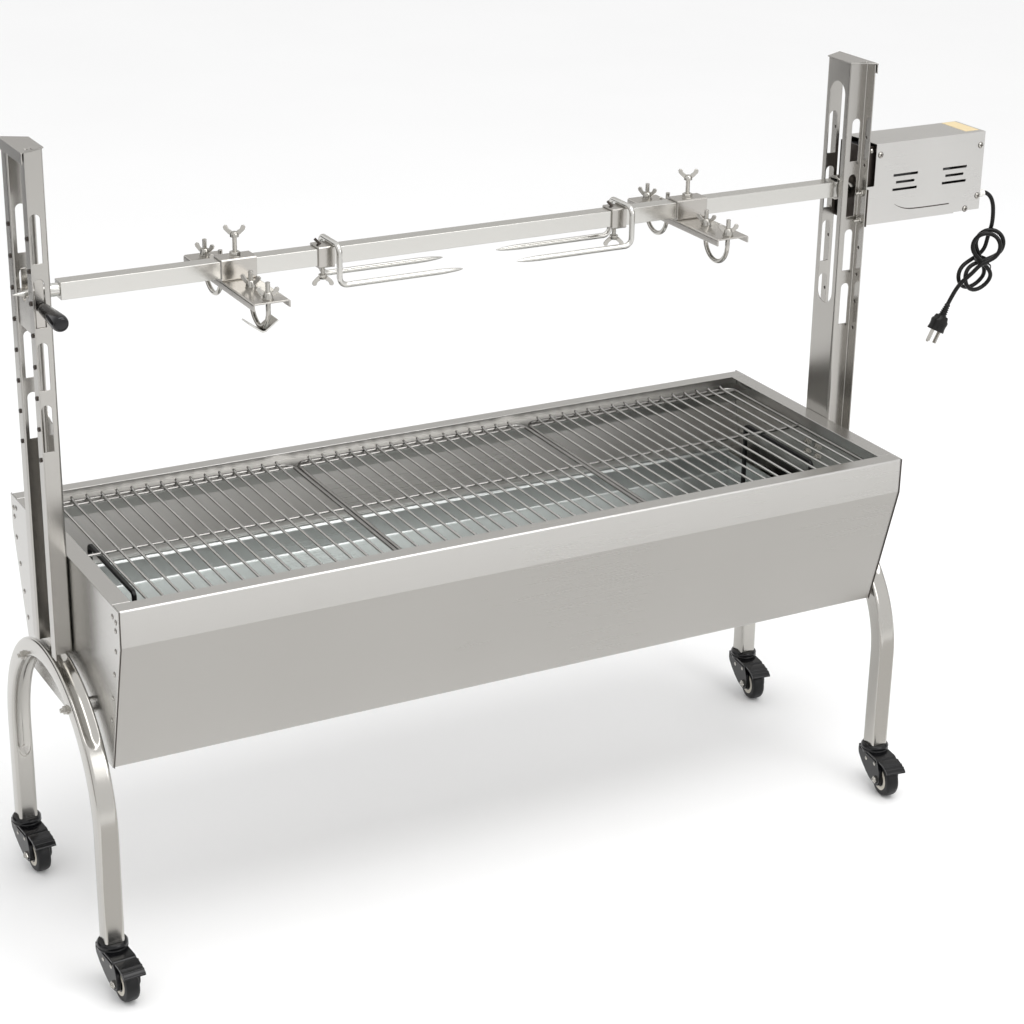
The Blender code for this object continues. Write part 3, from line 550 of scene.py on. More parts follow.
def cut(mesh, cutters, joins=()):  # the mesh joined with some and less the others
    base = linked("blank", mesh)
    held = []
    for operation, forms in (("UNION", joins), ("DIFFERENCE", cutters)):
        if not forms:
            continue
        group = bpy.data.collections.new(operation)
        bpy.context.scene.collection.children.link(group)
        for form in forms:
            tool = bpy.data.objects.new("tool", form.mesh())
            group.objects.link(tool)
        step = base.modifiers.new(operation, "BOOLEAN")
        step.operation = operation
        step.operand_type = "COLLECTION"
        step.collection = group
        held.append(group)
    bpy.context.view_layer.update()
    graph = bpy.context.evaluated_depsgraph_get()
    result = bpy.data.meshes.new_from_object(base.evaluated_get(graph))
    bpy.data.objects.remove(base)
    for group in held:
        for tool in list(group.objects):
            bpy.data.objects.remove(tool)
        bpy.data.collections.remove(group)
    result.materials.clear()
    return result


def breakEdges(made, bevel, angle, segments=2):
    step = made.modifiers.new("edges", "BEVEL")
    step.width = bevel
    step.segments = segments
    step.limit_method = "ANGLE"
    step.angle_limit = radians(angle)
    return made.modifiers.new("facing", "WEIGHTED_NORMAL")


def piece(name, mesh, body, finish, stands=(), bevel=0.0, angle=40, segments=2):
    if isinstance(mesh, Form):
        mesh = mesh.mesh()
    made = linked(name, mesh)
    mesh.materials.append(finishes[finish])
    mesh.shade_smooth()
    mesh.set_sharp_from_angle(angle=radians(angle))
    if bevel:
        breakEdges(made, bevel, angle, segments).keep_sharp = True
    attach(made, body)
    if stands:
        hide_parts(*stands)
    return made


def standing(place, turn=0.0):  # a frame at a place, turned about Z by radians
    return Matrix.Translation(place) @ Matrix.Rotation(turn, 4, "Z")


def pointing(place, direction):  # a frame whose Z runs along a direction
    return Matrix.Translation(place) @ Vector(direction).to_track_quat("Z", "Y").to_matrix().to_4x4()


def shown(node, finish, bevel=0.0006, angle=35):  # a CAD node that stays, with its finish and broken edges
    held = frame["nodes"][node]
    for place in held.material_slots:
        place.material = finishes[finish]
    if not held.material_slots:
        held.data.materials.append(finishes[finish])
    held.data.shade_smooth()
    held.modifiers.new("weld", "WELD").merge_threshold = 0.00001
    flat = held.modifiers.new("flat", "DECIMATE")
    flat.decimate_type = "DISSOLVE"
    flat.angle_limit = radians(0.6)
    breakEdges(held, bevel, angle).weight = 100


cordLook = {
    "diameter": 0.006,
    "length": 0.69,
    "exit": (0.7994, -0.0200, 0.8060),
    "hank": (0.8070, -0.0214, 0.7090),
    "lean": 15.5,
    "heading": -30,
    "upper": 0.0204,
    "lower": 0.0204,
    "apart": 0.0530,
    "layer": 0.0063,
    "twist": 34,
    "rows": 15,
}
hankTurn = spun(cordLook["heading"], "Z") @ spun(cordLook["lean"], "Y")
hankPlace = placed(*cordLook["hank"]) @ hankTurn
leadRoute = [
    (0.7994, -0.0200, 0.8060), (0.8006, -0.0200, 0.8060), (0.8070, -0.0200, 0.8055),
    (0.8120, -0.0201, 0.8010), (0.8165, -0.0203, 0.7940), (0.8190, -0.0206, 0.7850),
    (0.8198, -0.0209, 0.7750), (0.8198, -0.0212, 0.7650), (0.8194, -0.0214, 0.7560),
]
tailRoute = [
    (0.7905, -0.0290, 0.6960), (0.7850, -0.0250, 0.6890), (0.7800, -0.0205, 0.6820),
    (0.7752, -0.0171, 0.6758), (0.7705, -0.0163, 0.6696), (0.7660, -0.0157, 0.6620),
    (0.7618, -0.0152, 0.6542), (0.7580, -0.0150, 0.6469),
]


def hankRoute():  # two figure-of-eight turns in the hank's own upright plane
    high, low = cordLook["upper"], cordLook["lower"]
    waist = -0.0020
    highCentre = waist + cordLook["apart"] * high / (high + low)
    lowCentre = waist - cordLook["apart"] * low / (high + low)
    spread = acos((high + low) / cordLook["apart"])  # angle of the tangent points from the middle line
    depth = 2 * cordLook["layer"]
    route = [(-0.0012, 0.0130, 0.034), (0.0008, 0.0140, 0.020), (0.0018, depth + 0.001, 0.008)]
    rows = cordLook["rows"]
    for side, lift in ((0.0030, 0.0), (-0.0026, -0.0035)):
        for i in range(rows):  # down the left, round the bottom and up the right
            share = i / (rows - 1)
            a = pi / 2 + spread + share * (2 * pi - 2 * spread)
            back = depth - cordLook["layer"] * share
            route.append((low * cos(a) - side / 2, back, lowCentre + low * sin(a) - lift / 2))
        depth -= cordLook["layer"]
        for i in range(rows):  # up the left, round the top and down the right
            share = i / (rows - 1)
            a = -pi / 2 - spread - share * (2 * pi - 2 * spread)
            back = depth - cordLook["layer"] * share
            route.append((high * cos(a) + side, back, highCentre + high * sin(a) + lift))
        depth -= cordLook["layer"]
    turned = []
    for u, v, w in route:  # the lower loops stand across the upper ones
        share = min(1.0, max(0.0, (waist + 0.012 - w) / 0.056))
        a = radians(cordLook["twist"]) * share * share * (3 - 2 * share)
        turned.append((u * cos(a) - v * sin(a), u * sin(a) + v * cos(a), w))
    return turned + [(-0.0030, -0.0140, -0.0040)]


def evenly(route, step):  # points a step apart along a smooth curve through a route
    route = [Vector(point) for point in route]
    ends = [2 * route[0] - route[1]] + route + [2 * route[-1] - route[-2]]
    fine = []
    for a, b, c, d in zip(ends, ends[1:], ends[2:], ends[3:]):
        for i in range(12):
            t = i / 12
            bent = (2 * a - 5 * b + 4 * c - d) * t ** 2 + (3 * b - a - 3 * c + d) * t ** 3
            fine.append((2 * b + (c - a) * t + bent) / 2)
    fine.append(route[-1])
    picked = [fine[0]]
    travelled = 0.0
    for a, b in zip(fine, fine[1:]):
        travelled += (b - a).length
        if travelled >= step:
            picked.append(b)
            travelled = 0.0
    if (picked[-1] - fine[-1]).length < step * 0.4:
        picked.pop()
    return picked + [fine[-1]]


def relaxed(points, rounds, held):  # eases the kinks out, with some points at each end held
    points = [point.copy() for point in points]
    for _ in range(rounds):
        eased = [point.copy() for point in points]
        for i in range(held, len(points) - held):
            eased[i] = points[i] * 0.5 + (points[i - 1] + points[i + 1]) * 0.25
        points = eased
    return points


def makeCord():
    route = [at(*point) for point in leadRoute]
    route += [hankPlace @ Vector(point) for point in hankRoute()]
    route += [at(*point) for point in tailRoute]
    points = relaxed(evenly(route, 0.0030), 10, 2)
    points = evenly(points, 0.0022)
    data = bpy.data.curves.new("power_cord", "CURVE")
    data.dimensions = "3D"
    data.bevel_depth = cordLook["diameter"] / 2
    data.bevel_resolution = 4
    data.use_fill_caps = True
    line = data.splines.new("POLY")
    line.points.add(len(points) - 1)
    for held, point in zip(line.points, points):
        held.co = (*point, 1)
    line.use_smooth = True
    made = linked("power_cord", data)
    data.materials.append(finishes["cordBlack"])
    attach(made, "motor_carriage")
    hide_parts("cord_lead", "cord_hank", "cord_tail")
    return made


def squircle(wide, deep, level, power=4.0, count=24):
    points = []
    for i in range(count):
        a = 2 * pi * (i + 0.5) / count
        size = (abs(cos(a)) ** power + abs(sin(a)) ** power) ** (-1 / power)
        points.append((wide * size * cos(a), deep * size * sin(a), level))
    return points


plugLook = {"place": (0.7575, -0.0150, 0.6458), "tilt": 27, "ribs": 5, "ridges": 4}


def makePlug():
    place = placed(*plugLook["place"]) @ spun(plugLook["tilt"], "Y")
    relief = Form()
    rows = [(0.0012, 0.0032), (0.0, 0.0040)]
    for i in range(plugLook["ribs"]):  # ribbed strain relief
        top = -0.0016 - 0.0030 * i
        wide = 0.0041 + 0.00036 * i
        neck = wide - 0.0009
        rows += [(top, wide), (top - 0.0003, neck), (top - 0.0012, neck), (top - 0.0015, wide + 0.0002)]
    rows.append((-0.0178, 0.0060))
    relief.lathe(rows[::-1], 20, place)
    body = Form()
    sections = [
        (-0.0165, 0.0060, 0.0058), (-0.0172, 0.0080, 0.0074), (-0.0200, 0.0088, 0.0083),
        (-0.0222, 0.0094, 0.0084), (-0.0242, 0.0118, 0.0084), (-0.0262, 0.0124, 0.0084),
        (-0.0300, 0.0116, 0.0081), (-0.0345, 0.0114, 0.0081), (-0.0375, 0.0120, 0.0084),
        (-0.0394, 0.0122, 0.0084), (-0.0400, 0.0116, 0.0079),
    ]
    body.loft([squircle(wide, deep, level) for level, wide, deep in sections][::-1], place)
    for side in (-1, 1):  # grip ridges on the flat faces
        for i in range(plugLook["ridges"]):
            level = -0.0275 - 0.0026 * i
            y = span(side, 0.0076, 0.0087)
            body.box((-0.0062, y[0], level - 0.0005), (0.0062, y[1], level + 0.0005), place)
    grip = piece("plug_body", body, "motor_carriage", "cordBlack", ("plug",), 0.0004, 50)
    sleeve = piece("plug_strain_relief", relief, "motor_carriage", "cordBlack", (), 0.0, 50)
    pins = Form()
    blade = [
        (-0.0050, -0.0390), (-0.0050, -0.0558), (-0.0040, -0.0570), (0.0004, -0.0570),
        (0.0014, -0.0558), (0.0014, -0.0390),
    ]
    for side in (-1, 1):
        pins.prism(blade, 0, *span(side, 0.0056, 0.0072), place)
    rows = [(-0.0590, 0.0010), (-0.0582, 0.0019), (-0.0572, 0.0024), (-0.0390, 0.0024)]
    pins.lathe(rows, 16, place @ moved(0, 0.0060, 0))
    blades = piece("plug_pins", pins, "motor_carriage", "brightSteel", (), 0.00015)
    return [grip, sleeve, blades]


tieLook = {"wide": 0.0098, "deep": 0.0148, "level": -0.0020, "wave": 0.0006, "steps": 28}


def makeTie():
    look = tieLook
    form = Form()
    path = []
    for i in range(look["steps"]):
        a = 2 * pi * i / look["steps"]
        level = look["level"] + look["wave"] * sin(2 * a)
        path.append((look["wide"] * cos(a), look["deep"] * sin(a), level))
    outline = roundedBox(0.0016, 0.0066, 0.0007, 3)
    form.sweep(path, outline, hankPlace, (1, 0, 0), True)
    knot = [(0.0088, -0.0085, -0.0020), (0.0120, -0.0125, -0.0028), (0.0128, -0.0150, -0.0062)]
    form.sweep(roundPath(knot, 0.003), roundedBox(0.0012, 0.0034, 0.0005, 2), hankPlace)
    return piece("cord_tie", form, "motor_carriage", "cordBlack", (), 0.0, 50)


glandLook = {"place": (0.7834, -0.020, 0.806)}


def makeGland():
    place = placed(*glandLook["place"]) @ spun(90, "Y")
    form = Form()
    rows = [
        (-0.0060, 0.0048), (0.0002, 0.0048), (0.0003, 0.0074), (0.0030, 0.0074), (0.0038, 0.0066),
        (0.0042, 0.0060), (0.0060, 0.0057), (0.0064, 0.0062), (0.0084, 0.0060), (0.0088, 0.0054),
        (0.0108, 0.0052), (0.0112, 0.0056), (0.0132, 0.0053), (0.0136, 0.0048), (0.0158, 0.0045),
        (0.0160, 0.0036),
    ]
    form.lathe(rows, 24, place)
    return piece(
        "strain_relief_bushing", form, "motor_carriage", "nylon", ("cord_gland",), 0.0, 35,
    )


print("laying the cord")
powerCord = makeCord()
plugPieces = makePlug()
tie = makeTie()
gland = makeGland()


boxLook = {
    "half": 0.55, "topHalf": 0.202, "bottomHalf": 0.154, "rim": 0.511, "band": 0.464, "bottom": 0.287,
    "flange": 0.022, "sheet": 0.0015, "bend": 0.0030, "boltY": 0.084, "boltZ": 0.340, "pad": 0.0100,
    "legX": 0.5695, "legHalf": 0.0127,
    "ledges": ((0.4928, 0.166, 0.0010), (0.3676, 0.155, 0.0016)),  # top, inner edge, gap to the wall
    "rivets": (0.4555, 0.4220, 0.3870, 0.3540), "postNutY": 0.012, "postNutZ": (0.4640, 0.4480),
}


def boxSide(z):
    if z >= boxLook["band"]:
        return boxLook["topHalf"]
    share = (z - boxLook["bottom"]) / (boxLook["band"] - boxLook["bottom"])
    return boxLook["bottomHalf"] + share * (boxLook["topHalf"] - boxLook["bottomHalf"])


def makeShell():
    look = boxLook
    edge = look["topHalf"] - look["flange"]
    half = [
        (look["topHalf"], look["rim"]), (look["topHalf"], look["band"]),
        (look["bottomHalf"], look["bottom"]),
    ]
    line = [(edge, look["rim"])] + half + [(-y, z) for y, z in reversed(half)] + [(-edge, look["rim"])]
    reach = look["half"] - 0.0004
    form = Form()
    outline = shifted(foldedSheet(line, -look["sheet"], look["bend"], 5), home.y, 0)
    form.prism(outline, 0, home.x - reach, home.x + reach)
    for side in (-1, 1):  # ledges for the grates and the tray
        for top, inner, inset in look["ledges"]:
            outer = boxSide(top) - inset
            y = span(side, inner, outer)
            low = at(-reach + 0.004, y[0], top - look["sheet"])
            form.box(low, at(reach - 0.004, y[1], top))
    return piece("box_shell", form, "root", "boxSheet", ("firebox_shell",), 0.0004, 50)


def makeEndPanel(word, side):
    look = boxLook
    form = Form()
    inner, outer = span(side, look["half"], (look["half"] + look["sheet"]))
    half = [
        (look["topHalf"], look["rim"]), (look["topHalf"], look["band"]),
        (look["bottomHalf"], look["bottom"]),
    ]
    plate = half + [(-y, z) for y, z in reversed(half)]
    form.prism(shifted(plate, home.y, 0), 0, home.x + inner, home.x + outer)
    edge = look["topHalf"] - look["flange"] - 0.0008
    reach = span(side, (look["half"] - look["flange"]), (look["half"] + look["sheet"] / 2))
    form.box(at(reach[0], -edge, look["rim"] - look["sheet"]), at(reach[1], edge, look["rim"]))
    facing = spun(side * 90, "Y")
    pad = look["pad"]
    for y in (-look["boltY"], look["boltY"]):  # round pads behind the arch bolts
        gap = look["legX"] - look["legHalf"] - 0.0004 - look["half"]
        rows = [(0.0005, pad), (gap - 0.0006, pad), (gap, 0.0094)]
        form.lathe(rows, 24, placed(side * look["half"], y, look["boltZ"]) @ facing)
    piece("box_end_" + word, form, "root", "endSheet", ("end_panel_" + word,), 0.0005, 40)
    rivets = Form()
    seam = []
    for near in (-1, 1):
        for inset, z in ((0.0200, 0.4975), (0.0090, 0.4945), (0.0110, 0.4830)):
            seam.append((near * (look["topHalf"] - inset), z))
        for z in look["rivets"]:
            seam.append((near * (boxSide(z) - 0.0120), z))
    # dark discs under the rivet heads, a little wider than them, are painted shadow round each rivet
    rivetShadows = Form()
    for y, z in seam:
        base = placed(side * (look["half"] + look["sheet"]), y, z) @ facing
        rivets.dome(0.0028, 0.0014, 14, base)
        rivetShadows.lathe([(-0.0002, 0.0034), (0.0002, 0.0034), (0.0003, 0.0029)], 16, base)
        inside = placed(side * look["half"], y, z) @ spun(-side * 90, "Y")
        rivets.dome(0.0026, 0.0010, 12, inside)
    piece("end_rivets_" + word, rivets, "root", "brightSteel")
    piece("rivet_shadow_rings_" + word, rivetShadows, "root", "darkSteelAndShade")
    gap = Form()  # a dark strip in the open seam between the end and the folded sheet, painted shade in the gap
    x = span(side, (look["half"] - 0.0006), (look["half"] + 0.0002))
    for near in (-1, 1):
        line = [(near * y, z) for y, z in half]
        outline = shifted(foldedSheet(line, near * 0.0012, 0), home.y + near * 0.0001, 0)
        gap.prism(outline, 0, home.x + x[0], home.x + x[1])
    piece("corner_seam_shade_" + word, gap, "root", "darkSteelAndShade")
    nuts = Form()  # bolts that hold the post to the box, seen from inside
    for y in (-look["postNutY"], look["postNutY"]):
        for z in look["postNutZ"]:
            spot = placed(side * look["half"], y, z) @ spun(-side * 90, "Y")
            rows = [(0.0, 0.0068), (0.0006, 0.0068), (0.0007, 0.0050), (0.0040, 0.0050), (0.0044, 0.0044)]
            nuts.lathe(rows, 6, spot)
            nuts.lathe([(0.0040, 0.0024), (0.0065, 0.0024), (0.0068, 0.0020)], 12, spot)
    piece("post_nuts_" + word, nuts, "root", "brightSteel", (), 0.0002)


def makeArchBolts(word, side):  # bolts through the arch into the box end, and the nuts on their outer ends
    form = Form()
    for y in (-boxLook["boltY"], boxLook["boltY"]):
        base = placed(
            side * (boxLook["legX"] + boxLook["legHalf"]), y, boxLook["boltZ"],
        ) @ spun(side * 90, "Y")
        form.lathe([(-0.0020, 0.0062), (0.0008, 0.0062), (0.0009, 0.0060)], 18, base)
        form.lathe([(0.0009, 0.0052), (0.0044, 0.0052), (0.0050, 0.0046)], 6, base)
        form.thread(0.0030, 0.0046, 0.0086, 0.0010, 12, base)
    piece("arch_bolts_" + word, form, "root", "brightSteel", (), 0.0002)


print("folding the charcoal box")
makeShell()
for word, side in (("left", -1), ("right", 1)):
    makeEndPanel(word, side)
    makeArchBolts(word, side)


trayLook = {
    "half": 0.522, "floorHalf": 0.166, "topHalf": 0.1775, "floor": 0.3680, "top": 0.404, "roll": 0.0052,
    "sheet": 0.0015, "handleX": 0.490, "handleHalf": 0.084, "handleTop": 0.477,
}


def makeTray():
    look = trayLook
    roll = look["roll"]
    centreY = look["topHalf"] - roll + 0.0022
    centreZ = look["top"] - roll
    right = []
    for i in range(11):  # rolled rim, from under its lip over the top and down the wall
        a = radians(-50 + 220 * i / 10)
        right.append((centreY + roll * cos(a), centreZ + roll * sin(a)))
    for out, lift in ((0.0016, 0.0042), (0.0002, 0.0014), (-0.0020, 0.0002), (-0.0044, 0)):
        right.append((look["floorHalf"] + out, look["floor"] + lift))
    line = right + [(-y, z) for y, z in reversed(right)]
    outline = sheetOutline([Vector((y + home.y, z, 0)) for y, z in line], -look["sheet"])
    form = Form()
    form.prism(outline, 0, home.x - look["half"], home.x + look["half"])
    wide = look["topHalf"] - 2 * roll + 0.0002
    foot = look["floorHalf"] - 0.0030
    for side in (-1, 1):
        x = span(side, (look["half"] - 0.0004), (look["half"] - 0.0024))
        high, low = look["top"] - roll, look["floor"] + 0.0006
        plate = [(wide, high), (foot, low), (-foot, low), (-wide, high)]
        form.prism(shifted(plate, home.y, 0), 0, home.x + x[0], home.x + x[1])
    return piece("ash_tray", form, "tray", "traySheet", ("charcoal_tray",), 0.0003, 50)


def makeTrayHandle(word, side):
    look = trayLook
    x = side * look["handleX"]
    foot = look["floor"] + look["sheet"] + 0.0004 + 0.0015
    half = look["handleHalf"] - 0.0030
    top = look["handleTop"] - 0.0030
    corners = [(x, half - 0.015, foot), (x, half, foot), (x, half, top)]
    corners += [(x, -half, top), (x, -half, foot), (x, -half + 0.015, foot)]
    path = roundPath([at(*corner) for corner in corners], 0.0060, 6)
    form = Form()
    form.sweep(path, roundedBox(0.0054, 0.0058, 0.0012, 3), None, (1, 0, 0))
    for near in (-1, 1):
        y = span(near, (half - 0.018), (half - 0.002))
        form.box(at(x - 0.0065, y[0], foot - 0.0014), at(x + 0.0065, y[1], foot + 0.0012))
    return piece(
        "tray_grip_" + word, form, "tray", "blackEnamel", ("tray_handle_" + word,), 0.0003,
        50,
    )


print("making the ash tray")
makeTray()
for word, side in (("left", -1), ("right", 1)):
    makeTrayHandle(word, side)


grateLook = {
    "width": 0.349, "gap": 0.0016, "shift": 0.002, "halfDepth": 0.1775, "rod": 0.0050, "wire": 0.0034,
    "height": 0.4932, "wires": 16, "corner": 0.016, "frontCorner": 0.006, "pair": 0.0125,
}


def makeGrate(word, centre):
    look = grateLook
    rod = look["rod"] / 2
    half = look["width"] / 2 - rod
    depth = look["halfDepth"] - rod
    base = placed(centre, 0, look["height"])
    frameRod = Form()
    front = roundPath([(0, -depth, rod), (half, -depth, rod), (half, 0, rod)], look["frontCorner"])[:-1]
    back = roundPath([(half, 0, rod), (half, depth, rod), (0, depth, rod)], look["corner"])[:-1]
    rightHalf = front + back[1:]
    leftHalf = [Vector((-p.x, p.y, p.z)) for p in reversed(rightHalf[1:])]
    loop = rightHalf + [Vector((0, depth, rod))] + leftHalf
    frameRod.sweep(loop, ring(rod, 14), base, (0, 0, 1), True)
    tie = [(-half, depth - look["pair"], rod), (half, depth - look["pair"], rod)]
    frameRod.sweep(tie, ring(0.0022, 12), base, (0, 0, 1))
    frameRod.sweep([(-half, 0, rod), (half, 0, rod)], ring(0.0021, 12), base, (0, 0, 1))
    name = "grate_" + word
    piece("grate_frame_" + word, frameRod, name, "rodChromeShaded", (name,))
    wires = Form()
    level = look["rod"] + look["wire"] / 2 - 0.0012
    pitch = 2 * half / (look["wires"] + 1)
    for i in range(look["wires"]):
        x = -half + (i + 1) * pitch
        sway = 0.0004 * sin(5.1 * i + centre * 40)
        path = [
            (x, -depth - 0.0004, level), (x + sway, -depth * 0.4, level), (x - sway, depth * 0.4, level),
        ]
        path += [
            (x, depth - 0.0140, level), (x, depth - 0.0080, level + 0.0003),
            (x, depth - 0.0036, level + 0.0012),
        ]
        path += [(x, depth - 0.0006, level + 0.0022), (x, depth + 0.0016, level + 0.0024)]
        wires.sweep(path, ring(look["wire"] / 2, 10), base, (1, 0, 0))
    piece("grate_wires_" + word, wires, name, "wireChrome", (name,))


print("bending the grates")
for i, word in enumerate(("left", "middle", "right")):
    makeGrate(word, grateLook["shift"] + (i - 1) * (grateLook["width"] + grateLook["gap"]))


postLook = {
    "x": 0.5520, "depth": 0.029, "web": 0.054, "width": 0.087, "foot": 0.3856, "top": 1.009,
    "sheet": 0.0015, "bend": 0.0026,
    "webSlot": (0.6737, 0.9817), "webSlotWidth": 0.034, "slotTop": 0.9348, "slotHeight": 0.058,
    "slotWidth": 0.013,
    "slotPitch": 0.0762, "holeTop": 0.910, "holePitch": 0.0381, "holeWidth": 0.0046, "holeY": 0.0352,
}


def obround(centre, width, low, high, steps=14, flatFoot=False):
    radius = width / 2
    turn = [pi * i / steps for i in range(steps + 1)]
    points = [(centre + radius * cos(a), high - radius + radius * sin(a)) for a in turn]
    if flatFoot:
        return points + [(centre - radius, low), (centre + radius, low)]
    return points + [(centre - radius * cos(a), low + radius - radius * sin(a)) for a in turn]


def makePost(word, side):
    look = postLook
    lip = look["x"] + look["depth"]
    sheet = look["sheet"]
    line = [
        (side * (lip - sheet), -look["width"] / 2), (side * (lip - sheet), -look["web"] / 2 + sheet),
        (side * (look["x"] + sheet), -look["web"] / 2 + sheet),
        (side * (look["x"] + sheet), look["web"] / 2 - sheet),
        (side * (lip - sheet), look["web"] / 2 - sheet), (side * (lip - sheet), look["width"] / 2),
    ]
    outline = foldedSheet(line, sheet if side > 0 else -sheet, look["bend"], 4)
    body = Form().prism(shifted(outline, home.x, home.y), 2, look["foot"], look["top"])
    cutters = []
    web = span(side, (look["x"] - 0.0012), (look["x"] + 0.004))
    slot = shifted(obround(0, look["webSlotWidth"], *look["webSlot"]), home.y, 0)
    cutters.append(Form().prism(slot, 0, home.x + web[0], home.x + web[1]))
    for i in range(4):
        top = look["slotTop"] - i * look["slotPitch"]
        slot = obround(
            side * (look["x"] + look["depth"] / 2), look["slotWidth"], top - look["slotHeight"], top, 12,
            True,
        )
        cutters.append(Form().prism(shifted(slot, home.x, 0), 1, home.y - 0.035, home.y + 0.035))
    lips = span(side, (lip - 0.003), (lip + 0.002))
    for i in range(8):
        for y in (-look["holeY"], look["holeY"]):
            hole = shifted(
                ring(look["holeWidth"] / 2, 14), home.y + y, look["holeTop"] - i * look["holePitch"],
            )
            cutters.append(Form().prism(hole, 0, home.x + lips[0], home.x + lips[1]))
    # dark rings in and round the lip holes are painted shade in the holes
    holeShade = Form()
    for i in range(8):
        for y in (-look["holeY"], look["holeY"]):
            spot = placed(side * (lip - sheet / 2), y, look["holeTop"] - i * look["holePitch"])
            rows = [(-0.0009, 0.0028), (0.0009, 0.0028), (0.0009, 0.0014), (-0.0009, 0.0014)]
            holeShade.lathe(rows, 14, spot @ spun(90, "Y"), True)
    piece("hole_shade_rings_" + word, holeShade, "root", "darkSteelAndShade")
    mesh = cut(body.mesh(), cutters)
    piece("slotted_post_" + word, mesh, "root", "postSheetShaded", ("post_" + word,), 0.00025, 50)


def makeCap(word, side):
    look = postLook
    inner = look["x"] - 0.0008
    outer = look["x"] + look["depth"] + 0.0004
    low = look["top"] + 0.0004
    sheet = look["sheet"]
    plan = [
        (side * inner, -look["web"] / 2), (side * (outer + sheet), -look["width"] / 2 - 0.0005),
        (side * (outer + sheet), look["width"] / 2 + 0.0005), (side * inner, look["web"] / 2),
    ]
    plate = Form().prism(shifted(plan, home.x, home.y), 2, low, low + sheet)
    x = span(side, outer, (outer + sheet))
    half = look["width"] / 2 + 0.0005
    skirt = Form().box(at(x[0], -half, low - 0.012), at(x[1], half, low + sheet / 2))
    hole = Form().lathe(
        [(-0.01, 0.0026), (0.01, 0.0026)], 16, placed(side * (look["x"] + 0.021), -0.0310, low),
    )
    slitX = side * (look["x"] + 0.0145)
    slit = Form().box(at(slitX - 0.0007, -0.0345, low - 0.01), at(slitX + 0.0007, -0.0250, low + 0.01))
    mesh = cut(plate.mesh(), [hole, slit], [skirt])
    piece("post_top_" + word, mesh, "root", "postSheetShaded", ("post_cap_" + word,), 0.0005, 40)


print("cutting the posts")
for word, side in (("left", -1), ("right", 1)):
    makePost(word, side)
    makeCap(word, side)


archLook = {
    "x": 0.5695, "y": 0.170, "foot": 0.0655, "crown": 0.3852, "tube": 0.0254, "corner": 0.0042,
    "flute": 0.0048, "fluteHalf": 0.0098,
    "outerEnd": 0.112, "innerEnd": -0.044,
}


def makeArch(word, side):
    look = archLook
    half = look["tube"] / 2
    outline = roundedBox(look["tube"], look["tube"], look["corner"], 5)
    flat = half - look["corner"]
    dense = []
    count = len(outline)
    for i, (a, b) in enumerate(outline):
        dense.append((a, b))
        c, d = outline[(i + 1) % count]
        # the faces that take a flute
        if abs(b) > half - 1e-6 and abs(d) > half - 1e-6 and abs(a - c) > flat:
            dense += [(a + (c - a) * k / 14, b) for k in range(1, 14)]
    bend = look["y"]
    centreZ = look["crown"] - half - bend
    stations = [(Vector((0, -bend, look["foot"])), Vector((0, -1, 0)), -1.0)]
    straight = [look["foot"] + 0.04] + [centreZ - 0.060 + 0.004 * i for i in range(15)]
    for z in straight:
        stations.append((Vector((0, -bend, z)), Vector((0, -1, 0)), z - centreZ))
    steps = 96
    for i in range(steps + 1):
        a = pi * i / steps
        out = Vector((0, -cos(a), sin(a)))
        stations.append((Vector((0, 0, centreZ)) + out * bend, out, min(i, steps - i) / steps * pi * bend))
    for z in reversed(straight):
        stations.append((Vector((0, bend, z)), Vector((0, 1, 0)), z - centreZ))
    stations.append((Vector((0, bend, look["foot"])), Vector((0, 1, 0)), -1.0))
    loops = []
    for point, out, along in stations:  # along is the way up from where the bend starts
        loop = []
        for a, b in dense:
            if abs(b) > half - 1e-6 and abs(a) < look["fluteHalf"]:
                end = look["outerEnd"] if b > 0 else look["innerEnd"]
                nose = end + 0.010 * (a / look["fluteHalf"]) ** 2  # the flute ends in a round nose
                fade = min(1.0, max(0.0, (along - nose) / 0.012))
                fade = fade * fade * (3 - 2 * fade)
                dip = (1 - (a / look["fluteHalf"]) ** 2) ** 1.2 * look["flute"] * fade
                b -= dip if b > 0 else -dip
            loop.append(at(side * look["x"], 0, 0) + point + Vector((a, 0, 0)) + out * b)
        loops.append(loop)
    form = Form().loft(loops)
    piece("leg_tube_" + word, form, "root", "legTubeShaded", ("leg_arch_" + word,), 0.0, 60)
    inserts = Form()
    for near in (-1, 1):
        low = at(side * look["x"] - 0.0110, near * look["y"] - 0.0110, look["foot"] - 0.0003)
        inserts.box(low, at(side * look["x"] + 0.0110, near * look["y"] + 0.0110, look["foot"] + 0.0060))
    piece("foot_inserts_" + word, inserts, "root", "casterBlack", (), 0.0008)


casterLook = {
    "trail": 0.0365, "wheel": 0.025, "half": 0.0155, "pedalY": -0.0385, "pedalZ": 0.0545,
    "headings": {"left": 4, "right": -8},
}


